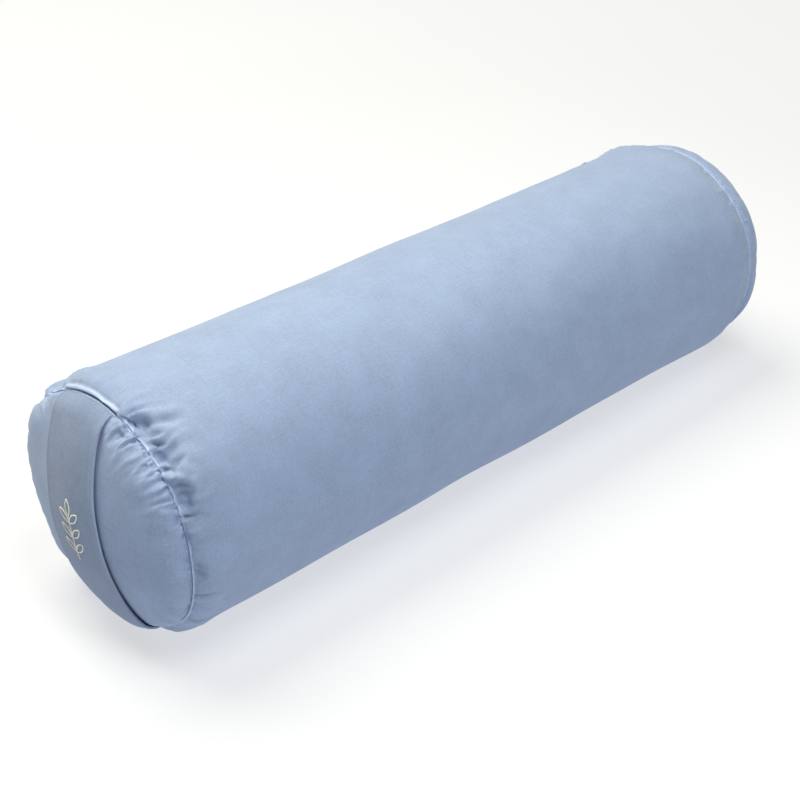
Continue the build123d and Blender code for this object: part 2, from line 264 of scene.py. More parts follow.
# Creases, as (s, phi in degrees) where they start and finish, depth and half-width. The listed ones are
# single deep ones at the near end.
CREASES = {
    NEAR: [
        ((-2.5, 108.3), (-13, 113.5), 3.3, 2.9),
        ((-12, 113), (-32, 118), 2.0, 3.4),
        ((-0.8, 105.2), (-17, 107), 1.5, 1.7),
        ((-14, 127), (-36, 130), 0.9, 4.0),
        ((-9, 116), (-20, 124), 1.1, 2.4),
        ((-1.5, 134), (-13, 137), 1.7, 1.7),
        ((-1.5, 141), (-12, 143), 1.4, 1.5),
        ((-1.5, 121.5), (-16, 124), 0.8, 2.0),
        ((-4, 154), (-19, 154.5), 0.7, 2.6),
        ((-1.5, 168), (-11, 169), 0.7, 1.5),
        ((-1.5, 181), (-9, 181.5), 0.8, 1.3),
        ((-1.5, 199), (-10, 200), 0.6, 1.6),
        ((2, 111), (15, 108), 1.5, 3.6),
        ((1.5, 106.5), (8, 105), 0.8, 1.5),
        ((1.5, 133.5), (9, 134), 1.0, 1.6),
        ((1.5, 150), (10, 147), 0.9, 1.9),
    ],
    FAR: [],
}


def add_small_creases(side, seed):
    """Short creases out from the seam on both sides, closer and deeper where the gathers are strong."""
    rng = np.random.default_rng(seed)
    at, strength = zip(*STRENGTH[side])
    for low, high, first, reach in ((2.4, 6.5, -0.7, -30), (3.4, 9.0, 0.9, 17)):
        phi = 0.0
        while phi < 359:
            here = float(np.interp(phi, at, strength))
            finish = first + reach * rng.uniform(0.25, 1) * (0.45 + 0.55 * here)
            lean = rng.uniform(-0.16, 0.16) * abs(finish)
            depth, width = rng.uniform(0.4, 1.4) * here, rng.uniform(1.0, 2.5)
            CREASES[side].append(((first, phi), (finish, phi + lean), depth, width))
            phi += rng.uniform(low, high) / max(here, 0.3) ** 0.7


add_small_creases(NEAR, 21)
add_small_creases(FAR, 22)
# The radius at which a crease's phi is turned into a distance round the bolster
CREASE_R = 98


def gathers(side, s, phi):
    """The displacement at any place, by cubic interpolation of the simulated cloth."""
    table = GATHERS[side]
    rows = len(PANEL_S)
    u = np.clip((s - PANEL_S[0]) / (PANEL_S[1] - PANEL_S[0]), 0, rows - 1.001)
    v = (phi / (2 * pi) * PANEL_N) % PANEL_N
    i, j = np.floor(u).astype(int), np.floor(v).astype(int)

    def weights(t):
        t2, t3 = t**2, t**3
        return [(-t + 2 * t2 - t3) / 2, (2 - 5 * t2 + 3 * t3) / 2, (t + 4 * t2 - 3 * t3) / 2, (t3 - t2) / 2]

    moved = 0
    for a, wu in enumerate(weights(u - i)):
        for b, wv in enumerate(weights(v - j)):
            tap = table[np.clip(i + a - 1, 0, rows - 1), (j + b - 1) % PANEL_N]
            moved = moved + tap * (wu * wv)[..., None]
    inside = (s > PANEL_S[0]) & (s < PANEL_S[-1])
    degrees_round, strength = zip(*STRENGTH[side])
    share = np.interp(np.degrees(phi) % 360, degrees_round, strength)
    share = share * np.where(s > 0, END_SHARE * bell(s, 0, 24), TUBE_SHARE * bell(s, 0, 32))
    share = share * (0.4 + 0.6 * smooth(abs(s), 0.5, 6.5))
    return moved * (share * inside)[..., None]


def crease_depth(side, s, phi):
    """How deep the creases are at a place, with a low ridge along both sides of each."""
    depths = np.zeros(np.shape(s))
    if np.min(s) > 35 or np.max(s) < -45:  # beyond all of them
        return depths
    for (s0, p0), (s1, p1), depth, width in CREASES[side]:
        du, dv = s1 - s0, radians(p1 - p0) * CREASE_R
        eu, ev = s - s0, turn_between(phi, radians(p0)) * CREASE_R
        t = np.clip((eu * du + ev * dv) / (du**2 + dv**2), 0, 1)
        away = np.hypot(eu - t * du, ev - t * dv)
        fold = bell(away, 0, width) - 0.45 * bell(away, 2.1 * width, 0.8 * width)
        depths = depths + CREASE_SHARE * depth * (1 - 0.6 * t) * fold
    return depths * np.where(s > 0, smooth(s, 0, 2), smooth(-s, 0, 2))


# ---- The cover's outer face ----

SWELL_HEIGHT, SWELL_COUNT = 0.34, 14
ZIP_BULGE = 3.4
# x where the zip's flat starts to end. The pull tab lies on the near one when the zip is open.
FLAT_END = {NEAR: 303, FAR: 292}

# Height, wave number along x, waves round and phase of each slow swell
swell_rng = np.random.default_rng(5)
SWELLS = [
    (
        SWELL_HEIGHT * swell_rng.uniform(0.5, 1),
        2 * pi / swell_rng.uniform(130, 520),
        int(swell_rng.integers(1, 8)),
        swell_rng.uniform(0, 2 * pi),
    )
    for _ in range(SWELL_COUNT)
]


def swell(x, phi):
    """Slow unevenness of the stuffing, fuller towards the ends, less of it beside the zip, and the bulge past
    the zip's far end."""
    out = -0.4 + 1.4 * smooth(abs(x), 100, 290)
    for height, wave, turns, start in SWELLS:
        out = out + height * np.cos(wave * x + turns * phi + start)
    from_zip = turn_between(phi, ZIP_ANGLE)
    past_zip = smooth(x, 296, 308) * (1 - smooth(x, 317, 330))
    out = out + ZIP_BULGE * bell(from_zip, 0, 0.42) * past_zip
    return out * (1 - 0.75 * bell(from_zip, 0, 0.22) * (1 - smooth(abs(x), 294, 308)))


def surface(side, s, phi, level=0.0, rough=1.0):
    """Points at the given places, with gathers, swells, the zip's flat and the floor's flat. rough is the
    share of the unevenness."""
    s, phi, level = np.broadcast_arrays(*[np.asarray(v, float) for v in (s, phi, level)])
    x, r, nx, nr = profile(side, s, phi)
    moved = gathers(side, s, phi) * rough
    level = level - crease_depth(side, s, phi) * rough
    reach = HALF + x
    out = moved[..., 1] + swell(side * reach, phi) * (1 - smooth(s, 0, 40)) * rough
    r = np.maximum(r + out, 0)
    down = np.maximum(-np.sin(phi), 1e-3)
    r = soft_min(r, np.where(np.sin(phi) < -0.3, AXIS / down, 1e3), 1.2)
    turn = turn_between(phi, ZIP_ANGLE)
    flat = FACET / np.maximum(np.cos(turn), 0.2)
    flat = flat + 12 * smooth(reach, FLAT_END[side], FLAT_END[side] + 16) + np.where(s > 0, 50, 0)
    r = soft_min(r, flat, 1.2)
    reach = reach + moved[..., 0] + nx * level
    r = r + nr * level
    a = phi + moved[..., 2] / np.maximum(r, 8)
    z = AXIS + r * np.sin(a)
    return np.stack([side * reach, r * np.cos(a), np.maximum(z, np.maximum(-level, 0))], -1)


SEAM_PULL = radians(7.5)


def closing_line(side, s):
    """phi of the tube's closing seam, which the gathers pull aside at the near end."""
    return ZIP_ANGLE + (SEAM_PULL if side == NEAR else 0) * (1 - smooth(-s, 0, 26))


def strap_share(phi):
    """1 where the strap is sewn into the near seam, 0 elsewhere."""
    half = asin(STRAP_W / 2 / SEAM_R)
    share = 0
    for middle in (pi / 2 - STRAP_TILT, 3 * pi / 2 - STRAP_TILT):
        share = share + 1 - smooth(abs(turn_between(phi, middle)), half - 0.01, half + 0.03)
    return share


def wrap_relief(side, s, phi):
    """Height of the seam's rolled edge, stitch grooves and the ripple beside the zip, on the tube."""
    strap = strap_share(phi) if side == NEAR else 0
    welt = 1.9 * smooth(s, -4.3, -2.9) * (1 - smooth(s, -1.5, -0.4)) - 0.6 * bell(s, -5.6, 1.0)
    edge = (1 - strap) * (0.95 * bell(s, -0.9, 0.62) - 0.15 * bell(s, -3.0, 1.0)) + strap * welt
    tuck = -((0.75 if side == NEAR else 0.35) + edge) * smooth(s, -0.5, -0.05)
    x = ENDS[side].unrolled + s
    across = TUBE_R * turn_between(phi, closing_line(side, s))
    groove = (0.6 * bell(across, 2.6, 1.6) - 1.3 * bell(across, 0, 1.1)) * smooth(x, SLOT_X + 2, SLOT_X + 8)
    y = np.clip(across, -60, 60)
    past_x, past_y = x - SEWN_X, abs(y) - SEWN_Y
    sewn = np.minimum(np.hypot(past_y, np.maximum(past_x, 0)), np.hypot(past_x, np.maximum(past_y, 0)))
    groove = groove - 0.35 * bell(sewn, 0, 0.9)
    ripple = 0.35 * (1 + np.sin(side * x / 9.5 + 1.3 * np.sin(side * x / 23) + np.sign(y) * 0.9))
    ripple = ripple * bell(abs(y), 7.5, 4.5) * (1 - smooth(x, 268, 280))
    return edge + tuck + groove + ripple


STITCH_S = 1.9
END_STITCHES = 192


def end_relief(side, s, phi):
    """Height of the end panel's edge and of the dimples at its stitches."""
    strap = strap_share(phi) if side == NEAR else 0
    depth = 1.0 if side == NEAR else 0.45
    holes = (0.5 + 0.5 * np.cos(END_STITCHES * phi)) ** 2
    groove = -(0.15 + 1.5 * holes) * bell(s, STITCH_S, 0.85) * (1 - strap)
    puckers = -0.45 * holes * bell(s, 3.2, 1.5) * (1 - strap)
    return depth * (groove + puckers - 0.75 * (1 - smooth(s, 0.0, 0.6)))


# ---- Meshes ----

CLOTH_UV = "cloth"


def finish_mesh(name, points, faces, uv=None, round_uv=None, painted_highlight=None):
    """An object from points in millimetres. uv is in metres, one per point, and round_uv is the length after
    which its second value starts again. The last argument is a painted highlight: it lightens the cloth's
    colour along raised edges and folds."""
    mesh = bpy.data.meshes.new(name)
    mesh.from_pydata((np.asarray(points, float).reshape(-1, 3) * MM).tolist(), [], faces)
    bm = bmesh.new()
    bm.from_mesh(mesh)
    bmesh.ops.recalc_face_normals(bm, faces=bm.faces)
    bm.to_mesh(mesh)
    bm.free()
    mesh.validate()
    if uv is not None:
        layer = mesh.uv_layers.new(name=CLOTH_UV)
        vertex = np.zeros(len(mesh.loops), np.int32)
        mesh.loops.foreach_get("vertex_index", vertex)
        values = np.asarray(uv, float).reshape(-1, 2)[vertex]
        if round_uv:
            starts = np.zeros(len(mesh.polygons), np.int32)
            mesh.polygons.foreach_get("loop_start", starts)
            sizes = np.zeros(len(mesh.polygons), np.int32)
            mesh.polygons.foreach_get("loop_total", sizes)
            highest = np.repeat(np.maximum.reduceat(values[:, 1], starts), sizes)
            values[:, 1] += np.where(highest - values[:, 1] > round_uv / 2, round_uv, 0)
        layer.data.foreach_set("uv", values.astype(np.float32).ravel())
    # Per-point amount of the painted highlight, read by the cloth's material.
    if painted_highlight is not None:
        attribute = mesh.attributes.new("painted_highlight", "FLOAT", "POINT")
        attribute.data.foreach_set("value", np.asarray(painted_highlight, np.float32).ravel())
    mesh.polygons.foreach_set("use_smooth", [True] * len(mesh.polygons))
    ob = bpy.data.objects.new(name, mesh)
    bpy.context.scene.collection.objects.link(ob)
    return ob


def ring_faces(counts):
    """Faces between rings laid one after another. Neighbouring rings have equal counts, or one has twice the
    other's, or a ring is a single point."""
    faces = []
    start = 0
    for a, b in zip(counts, counts[1:]):
        second = start + a
        if a == b:
            for j in range(a):
                k = (j + 1) % a
                faces.append((start + j, start + k, second + k, second + j))
        elif b == 1 or a == 1:
            n, first, hub = (a, start, second) if b == 1 else (b, second, start)
            for j in range(n):
                faces.append((first + j, first + (j + 1) % n, hub))
        else:
            many, few, n = (start, second, b) if a > b else (second, start, a)
            for j in range(n):
                k = (j + 1) % n
                m0, m1, m2 = many + 2 * j, many + 2 * j + 1, many + (2 * j + 2) % (2 * n)
                faces += [(m0, m1, few + j), (m1, few + k, few + j), (m1, m2, few + k)]
        start = second
    return faces


def strip_faces(rows, columns, closed=False, offset=0):
    faces = []
    for i in range(rows - 1):
        for j in range(columns if closed else columns - 1):
            k = (j + 1) % columns
            a, b = offset + i * columns, offset + (i + 1) * columns
            faces.append((a + j, a + k, b + k, b + j))
    return faces


def rod_faces(rows, n, start=0):
    """Faces of a row of rings of n points each, shut at both ends."""
    last = start + (rows - 1) * n
    caps = [tuple(range(start, start + n)), tuple(range(last + n - 1, last - 1, -1))]
    return strip_faces(rows, n, True, start) + caps


def hoop_faces(rows, n):
    """Faces of a row of rings of n points each, whose last ring is joined to its first."""
    last = (rows - 1) * n
    return strip_faces(rows, n, True) + [(last + j, last + (j + 1) % n, (j + 1) % n, j) for j in range(n)]


def tube_mesh(name, paths, radius, sides, lead):
    """Round threads or wires along the given paths, each an array of points. lead gives a direction that the
    paths never run along."""
    points, faces = [], []
    start = 0
    turns = (2 * pi * np.arange(sides) / sides)[:, None]
    for path in paths:
        path = np.asarray(path, float)
        tangent = np.gradient(path, axis=0)
        tangent /= np.linalg.norm(tangent, axis=1, keepdims=True)
        a = np.broadcast_to(np.asarray(lead, float), path.shape)
        a = a - (a * tangent).sum(1, keepdims=True) * tangent
        a /= np.linalg.norm(a, axis=1, keepdims=True)
        b = np.cross(tangent, a)
        rings = path[:, None] + radius * (np.cos(turns) * a[:, None] + np.sin(turns) * b[:, None])
        points.append(rings.reshape(-1, 3))
        faces += rod_faces(len(path), sides, start)
        start += len(path) * sides
    return finish_mesh(name, np.concatenate(points), faces)


def stitches(name, starts, ends, normals, sink, rise, radius=0.27, samples=7, sides=6):
    """Separate stitches, each from one needle hole to the next, dipping into the cloth at both."""
    starts, ends, normals = (np.asarray(v, float) for v in (starts, ends, normals))
    along = ends - starts
    along /= np.linalg.norm(along, axis=1, keepdims=True)
    across = np.cross(along, normals)
    across /= np.linalg.norm(across, axis=1, keepdims=True)
    up = np.cross(across, along)
    t = np.linspace(0, 1, samples)
    height = -sink + (sink + rise) * np.sin(pi * t) ** 0.6
    line = starts[:, None] + (ends - starts)[:, None] * t[:, None] + up[:, None] * height[:, None]
    turns = (2 * pi * np.arange(sides) / sides)[:, None]
    girth = radius * (0.75 + 0.25 * np.sin(pi * t))
    ring = np.cos(turns) * up[:, None, None] + np.sin(turns) * across[:, None, None]
    points = line[:, :, None] + girth[:, None, None] * ring
    faces = []
    for n in range(len(starts)):
        faces += rod_faces(samples, sides, n * samples * sides)
    return finish_mesh(name, points.reshape(-1, 3), faces)


def outward_normals(points, inside):
    n = np.asarray(points, float) - np.asarray(inside, float)
    return n / np.linalg.norm(n, axis=1, keepdims=True)


# ---- Materials ----


class Graph:
    """A material's nodes. A value that is a pair (node, output name) is a link."""

    def __init__(self, name):
        self.material = bpy.data.materials.new(name)
        self.material.use_nodes = True
        self.tree = self.material.node_tree
        self.shader = self.tree.nodes["Principled BSDF"]
        self.place = self.node("TexCoord"), "Object"

    def put(self, node, inputs):
        for key, value in inputs.items():
            socket = node.inputs[key]
            if isinstance(value, tuple) and isinstance(value[0], bpy.types.Node):
                self.tree.links.new(value[0].outputs[value[1]], socket)
            else:
                socket.default_value = value
        return node

    def node(self, kind, inputs=None, **settings):
        node = self.tree.nodes.new("ShaderNode" + kind)
        for key, value in settings.items():
            setattr(node, key, value)
        return self.put(node, inputs or {})

    def math(self, operation, a, b=0.0):
        return self.node("Math", {0: a, 1: b}, operation=operation), "Value"

    def noise(self, vector, scale, detail=2.0, rough=0.5):
        made = self.node("TexNoise", {"Vector": vector, "Scale": scale, "Detail": detail, "Roughness": rough})
        return made, "Fac"

    def stretched(self, vector, scale, rotation=(0, 0, 0)):
        made = self.node("Mapping", {"Vector": vector, "Scale": scale, "Rotation": rotation})
        return made, "Vector"

    def span(self, value, low, high, to_low, to_high):
        ends = {"From Min": low, "From Max": high, "To Min": to_low, "To Max": to_high}
        return self.node("MapRange", {"Value": value, **ends}), "Result"

    def mix(self, factor, a, b):
        node = self.node("Mix", data_type="RGBA")
        self.put(node, {0: factor, 6: a, 7: b})
        return node, 2

    def bump(self, height, distance, strength=1.0):
        return self.node("Bump", {"Height": height, "Distance": distance, "Strength": strength}), "Normal"


def tint(colour, factor):
    return tuple(min(1.0, c * factor) for c in colour) + (1.0,)


HIGHLIGHT_SHARE = 0.85  # how much of the painted highlight's paler colour shows where the highlight is strongest


def cotton(name, colour, pitch=0.00085, sheen=0.35, contrast=0.13, wrinkle=0.0, rough=0.85):
    """Plain-woven cotton: crossing threads, streaks where threads are thicker, slow mottling, and a painted
    highlight that lightens raised edges and folds.
    """
    g = Graph(name)
    uv = g.node("UVMap", uv_map=CLOTH_UV), "UV"
    threads = g.node("SeparateXYZ", {"Vector": g.stretched(uv, (2 * pi / pitch, 2 * pi / pitch, 1))})
    weave = g.math("MULTIPLY", g.math("SINE", (threads, "X")), g.math("SINE", (threads, "Y")))
    warp, weft = [g.noise(g.stretched(uv, scale), 1.0, 3.0) for scale in ((45, 1500, 1), (1500, 45, 1))]
    streaks = g.math("ADD", warp, weft)
    mottle = g.noise(g.place, 38.0, 4.0, 0.6)
    fleck = g.noise(g.place, 620.0, 2.0)
    tone = g.math("ADD", g.math("MULTIPLY", streaks, 0.35), g.math("MULTIPLY", mottle, 0.5))
    tone = g.math("ADD", tone, g.math("MULTIPLY", fleck, 0.55))
    tone = g.span(tone, 0.66, 1.09, 0.0, 1.0)
    body = g.mix(tone, tint(colour, 1 - contrast), tint(colour, 1 + contrast))
    # Painted highlight: a paler colour is mixed in by the per-point amount set along raised edges and folds.
    highlight_amount = g.node("Attribute", attribute_name="painted_highlight"), "Fac"
    pale = tuple(min(0.92, c * 1.35 + 0.13) for c in colour) + (1.0,)
    body = g.mix(g.math("MULTIPLY", g.span(highlight_amount, 0.0, 1.0, 0.0, 1.0), HIGHLIGHT_SHARE), body, pale)
    height = g.math("ADD", g.math("MULTIPLY", weave, 0.5), g.math("MULTIPLY", streaks, 0.9))
    normal = g.bump(height, 0.00012)
    if wrinkle:
        slow = g.noise(g.place, 55.0, 3.0, 0.55)
        normal = g.node("Bump", {"Height": slow, "Distance": wrinkle, "Normal": normal}), "Normal"
    g.put(g.shader, {"Base Color": body, "Roughness": rough, "Normal": normal, "Sheen Weight": sheen})
    g.put(g.shader, {"Sheen Roughness": 0.45, "Specular IOR Level": 0.25})
    return g.material


def thread(name, colour, sheen=0.3, rough=0.6):
    """Twisted sewing thread: fine slanting strands, with a painted highlight that makes them paler where they
    are raised.
    """
    g = Graph(name)
    strands = g.noise(g.stretched(g.place, (1, 5, 1), (0.6, 0.4, 0.8)), 900.0)
    tone = g.math("MULTIPLY", g.math("ADD", strands, g.noise(g.place, 160.0, 2.0)), 0.5)
    body = g.mix(tone, tint(colour, 0.84), tint(colour, 1.14))
    g.put(g.shader, {"Base Color": body, "Roughness": rough, "Sheen Weight": sheen})
    g.put(g.shader, {"Normal": g.bump(strands, 0.00006)})
    return g.material


def nylon(name, colour):
    """Slightly cloudy plastic wire."""
    g = Graph(name)
    cloudy = g.noise(g.place, 300.0, 2.0)
    body = g.mix(cloudy, tint(colour, 0.9), tint(colour, 1.12))
    g.put(g.shader, {"Base Color": body, "Roughness": g.span(cloudy, 0.3, 0.7, 0.34, 0.5)})
    return g.material


def nickel(name):
    """Plated metal with brushing along x and slightly dulled patches."""
    g = Graph(name)
    brushed = g.noise(g.stretched(g.place, (120, 3200, 3200)), 1.0, 3.0)
    dull = g.noise(g.place, 210.0, 3.0)
    body = g.mix(dull, (0.50, 0.50, 0.51, 1), (0.72, 0.72, 0.73, 1))
    g.put(g.shader, {"Base Color": body, "Roughness": g.span(dull, 0.3, 0.7, 0.22, 0.42), "Metallic": 1.0})
    g.put(g.shader, {"Normal": g.bump(brushed, 0.00001)})
    return g.material


def fibre(name, colour):
    """Loose kapok: tangled fine fibres with soft clumps."""
    g = Graph(name)
    clumps = g.noise(g.place, 60.0, 5.0, 0.65)
    hairs = g.noise(g.stretched(g.place, (300, 900, 700)), 1.0, 5.0, 0.7)
    tone = g.math("MULTIPLY", g.math("ADD", clumps, hairs), 0.5)
    body = g.mix(tone, tint(colour, 0.78), tint(colour, 1.18))
    g.put(g.shader, {"Base Color": body, "Roughness": 0.95, "Sheen Weight": 0.6})
    g.put(g.shader, {"Normal": g.bump(hairs, 0.0006)})
    return g.material


COVER_BLUE = (0.295, 0.390, 0.595)
cover_cloth = cotton("cover_cloth", COVER_BLUE, sheen=0.25, wrinkle=0.0007)
# The strap is the cover's own cloth. This darker copy is painted shade: it darkens the strap, whose face is
# turned away from the lights.
strap_cloth = cotton("strap_cloth", tuple(c * 0.77 for c in COVER_BLUE), sheen=0.2, wrinkle=0.0008)
cover_thread = thread("cover_thread", (0.60, 0.69, 0.86))
sprig_thread = thread("sprig_thread", (0.95, 0.90, 0.78), sheen=0.5, rough=0.45)
tape_cloth = cotton("zip_tape", (0.20, 0.27, 0.42), pitch=0.0006, sheen=0.1, contrast=0.05, rough=0.75)
coil_nylon = nylon("zip_coil", (0.17, 0.23, 0.37))
zip_metal = nickel("zip_metal")
label_satin = cotton("label_satin", (0.86, 0.86, 0.84), pitch=0.0004, contrast=0.03, rough=0.35)
liner_cotton = cotton("liner_cloth", (0.84, 0.80, 0.71), pitch=0.0007, contrast=0.1)
liner_cord = thread("liner_thread", (0.86, 0.84, 0.78))
kapok = fibre("kapok", (0.84, 0.77, 0.60))


def add(ob, body, material, slot, *nodes):
    """Gives a piece its material, hides the CAD parts that it stands for, and fixes it to the body that it
    rides on, if one is named.
    """
    ob.data.materials.append(material)
    if nodes:
        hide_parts(*nodes)
    if body:
        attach(ob, body)
    return ob


# ---- Cover: the main panel ----

# Distances from the zip's middle line at which the panel's mesh has lines, so that they follow the slot, its
# folded edges, the hem and the stitching.
NEAR_ZIP = [0, 0.45, 0.9, 1.5, 2.4, 3.6, 5.0, 5.07, 5.25, 5.55, 6.0, 6.8, 7.8, 9.0, 10.0, 10.5, 11.0, 11.5,
            12.0, 13.2, 14.6, 16.0, 17.0, 17.4, 18.8, 20.6]
FAR_COLUMNS = 292


def wrap_columns():
    """phi of each line of the main panel's mesh, as a step from the zip's middle, and the slot's index."""
    near = [atan(y / FACET) for y in NEAR_ZIP]
    rest = np.linspace(near[-1], 2 * pi - near[-1], FAR_COLUMNS + 2)[1:-1]
    return np.array(near + list(rest) + [2 * pi - a for a in reversed(near[1:])]), NEAR_ZIP.index(SLOT_Y)


def wrap_rows():
    """(side, s) of each ring of the main panel's mesh, from one turned-in edge to the other."""
    at_seam = [10, 7, 4, 1.6, 0, -0.25, -0.5, -0.8, -1.1, -1.5, -2, -2.6, -3.3, -4.2, -5.4, -6.8, -8.4, -10.2,
               -12.2, -14.4, -16.8, -19.3, -21.9, -24.5, -27.1, -29.8, -32.6, -35.6, -38.8]
    at_slot = [286.4, 286.0, 285.5, 285.0, 284.5, 283.8, 283.1, 282.8, 282.55, 282.4]
    along = [281, 279, 276.5, 273.5, 270, 266, 261, 255, 248, 240] + list(np.arange(229, 5, -11.5))
    near, far = [
        [(side, s) for s in at_seam + [s_at(side, x) for x in at_slot + along]] for side in (NEAR, FAR)
    ]
    return near + [(NEAR, s_at(NEAR, 0))] + far[::-1]


def cover_wrap():
    """The cloth round the tube, turned in at both end seams, with the slot folded back along the zip."""
    steps, slot_column = wrap_columns()
    rows = wrap_rows()
    n = len(steps)
    outer, inner, uv, painted_highlight = [], [], [], []
    for side, s in rows:
        phi = ZIP_ANGLE + steps
        pulled = closing_line(side, min(s, 0.0)) - ZIP_ANGLE
        phi = phi + pulled * bell(turn_between(phi, ZIP_ANGLE), 0, 0.5)
        x = HALF + float(profile(side, s)[0])
        y = FACET * np.tan(np.clip(turn_between(phi, ZIP_ANGLE), -0.9, 0.9))
        off_slot = np.hypot(np.maximum(x - SLOT_X, 0), np.maximum(abs(y) - SLOT_Y, 0))
        fold = 1 - np.sqrt(np.clip(1 - np.clip(1 - off_slot, 0, 1) ** 2, 0, 1))
        hem = (1 - smooth(abs(y), HEM_Y, HEM_Y + 0.4)) * (1 - smooth(x, TAPE_X, TAPE_X + 0.4))
        if s > 0:
            outer.append(surface(side, s, phi, -1.05))
            inner.append(surface(side, s, phi, -2.0))
            painted_highlight.append(0 * phi)
        else:
            relief = wrap_relief(side, np.full(n, s), phi)
            inside = -1 - hem * (1 - fold) + np.minimum(relief, 0.7) * (1 - 0.3 * hem)
            outer.append(surface(side, s, phi, relief - fold))
            inner.append(surface(side, s, phi, inside))
            # Painted highlight: the cloth's colour is lightened along the seam's rolled edge, along the welt
            # where the strap goes in, and along the slot's folded edges.
            strap = strap_share(phi) if side == NEAR else 0
            welt_highlight = smooth(s, -4.6, -3.4) * (1 - smooth(s, -1.2, -0.4))
            slot_highlight = 0.5 * (off_slot < 1.2) * (off_slot > 0)
            painted_highlight.append((1 - strap) * bell(s, -0.9, 0.9) + strap * welt_highlight + slot_highlight)
        uv.append(np.stack([np.full(n, side * x), steps * TUBE_R], -1) * MM)
    count = len(rows)
    xs = [HALF + float(profile(side, min(s, 0))[0]) for side, s in rows]
    open_cell = np.zeros((count - 1, n), bool)
    for i in range(count - 1):
        if xs[i] <= SLOT_X + 1e-6 and xs[i + 1] <= SLOT_X + 1e-6:
            open_cell[i, :slot_column] = True
            open_cell[i, n - slot_column :] = True
    size = count * n
    faces = []
    for i in range(count - 1):
        for j in range(n):
            if open_cell[i, j]:
                continue
            k = (j + 1) % n
            a, b, c, d = i * n + j, i * n + k, (i + 1) * n + k, (i + 1) * n + j
            faces.append((a, b, c, d))
            faces.append((size + d, size + c, size + b, size + a))
            for beside_slot, p, q in (
                (open_cell[i, j - 1], a, d),
                (open_cell[i, k], c, b),
                (i > 0 and open_cell[i - 1, j], b, a),
                (i < count - 2 and open_cell[i + 1, j], d, c),
            ):
                if beside_slot:
                    faces.append((p, q, size + q, size + p))
    for i in (0, count - 1):
        for j in range(n):
            p, q = i * n + j, i * n + (j + 1) % n
            faces.append((p, q, size + q, size + p) if i else (q, p, size + p, size + q))
    points = np.concatenate(outer + inner)
    # Points inside the slot belong to no face, and are left out.
    keep = np.zeros(len(points), bool)
    keep[np.unique(np.array(faces))] = True
    place = np.cumsum(keep) - 1
    faces = [tuple(int(place[v]) for v in f) for f in faces]
    uv, painted_highlight = np.tile(np.concatenate(uv), (2, 1))[keep], np.tile(np.concatenate(painted_highlight), 2)[keep]
    return finish_mesh("cover_wrap_cloth", points[keep], faces, uv, 2 * pi * TUBE_R * MM, painted_highlight)


add(cover_wrap(), "bolster", cover_cloth, "cover_cloth", "cover_wrap")


# ---- Cover: the end panels ----


def disc_uv(side, s, phi):
    reach = (ENDS[side].arc - s) * MM
    return np.stack([reach * np.cos(phi), reach * np.sin(phi)], -1)


def end_panel(side):
    """A round of cloth gathered into its seam: inner face out from the middle, and outer face back."""
    arc = ENDS[side].arc
    edge = [0.02, 0.12, 0.3, 0.55, 0.85, 1.15, 1.45, 1.75, 2.05, 2.35, 2.65, 3.0, 3.45, 4.0, 4.6, 5.3]
    near = list(np.arange(6.2, 30, 1.7)) + list(np.arange(31, 52, 2.4))
    outer = [(s, 768 if s < 18 else 384) for s in edge + near]
    outer += [(s, 192) for s in np.arange(54, arc - 27, 3.0)]
    outer += [(arc - k, n) for k, n in ((24, 96), (20, 96), (16, 48), (12, 48), (8, 24), (4, 24), (0, 1))]
    inner = [(s, 384) for s in (0.2, 1, 2.4, 4, 6.5, 9.5, 13, 17, 21, 25, 29)]
    inner += [(s, 192) for s in (33, 38, 44, 50, 56, 64, 72)]
    inner += [(arc - k, n) for k, n in ((26, 96), (18, 96), (11, 48), (5, 24), (0, 1))]
    counts, points, uv, painted_highlight = [], [], [], []

    def ring(s, n, level, relief):
        phi = 2 * pi * np.arange(n) / n if n > 1 else np.zeros(1)
        height = level + (end_relief(side, s, phi) if relief else 0)
        points.append(surface(side, s, phi, height))
        uv.append(disc_uv(side, s, phi))
        # A painted highlight lightens the panel's edge at the seam.
        painted_highlight.append(np.full(n, 0.35 * float(bell(s, 0.6, 0.5)) if relief else 0))
        counts.append(n)

    for s, n in reversed(inner):
        ring(s, n, -1.0, False)
    ring(0.0, 768, -1.03, False)
    for s, n in outer:
        ring(s, n, 0.0, True)
    name, (points, uv, painted_highlight) = f"cover_end_{END_NAMES[side]}_cloth", map(np.concatenate, (points, uv, painted_highlight))
    return finish_mesh(name, points, ring_faces(counts), uv, None, painted_highlight)


for side, end in END_NAMES.items():
    add(end_panel(side), "bolster", cover_cloth, "cover_cloth", f"cover_end_{end}")


# ---- Strap ----

STRAP_UP = np.array([0, sin(STRAP_TILT), cos(STRAP_TILT)])
STRAP_ACROSS = np.array([0, cos(STRAP_TILT), -sin(STRAP_TILT)])


def s_from_radius(r):
    """s of a place under the strap, from its distance to the bolster's axis."""
    e = ENDS[NEAR]
    crown = e.arc - e.crown * np.arcsin(np.clip(r / e.crown, 0, 1))
    roll = e.rim * (e.seam_turn - np.arcsin(np.clip((r - e.centre) / e.rim, -1, 1)))
    return np.where(r > e.crown * sin(e.turn), roll, crown)


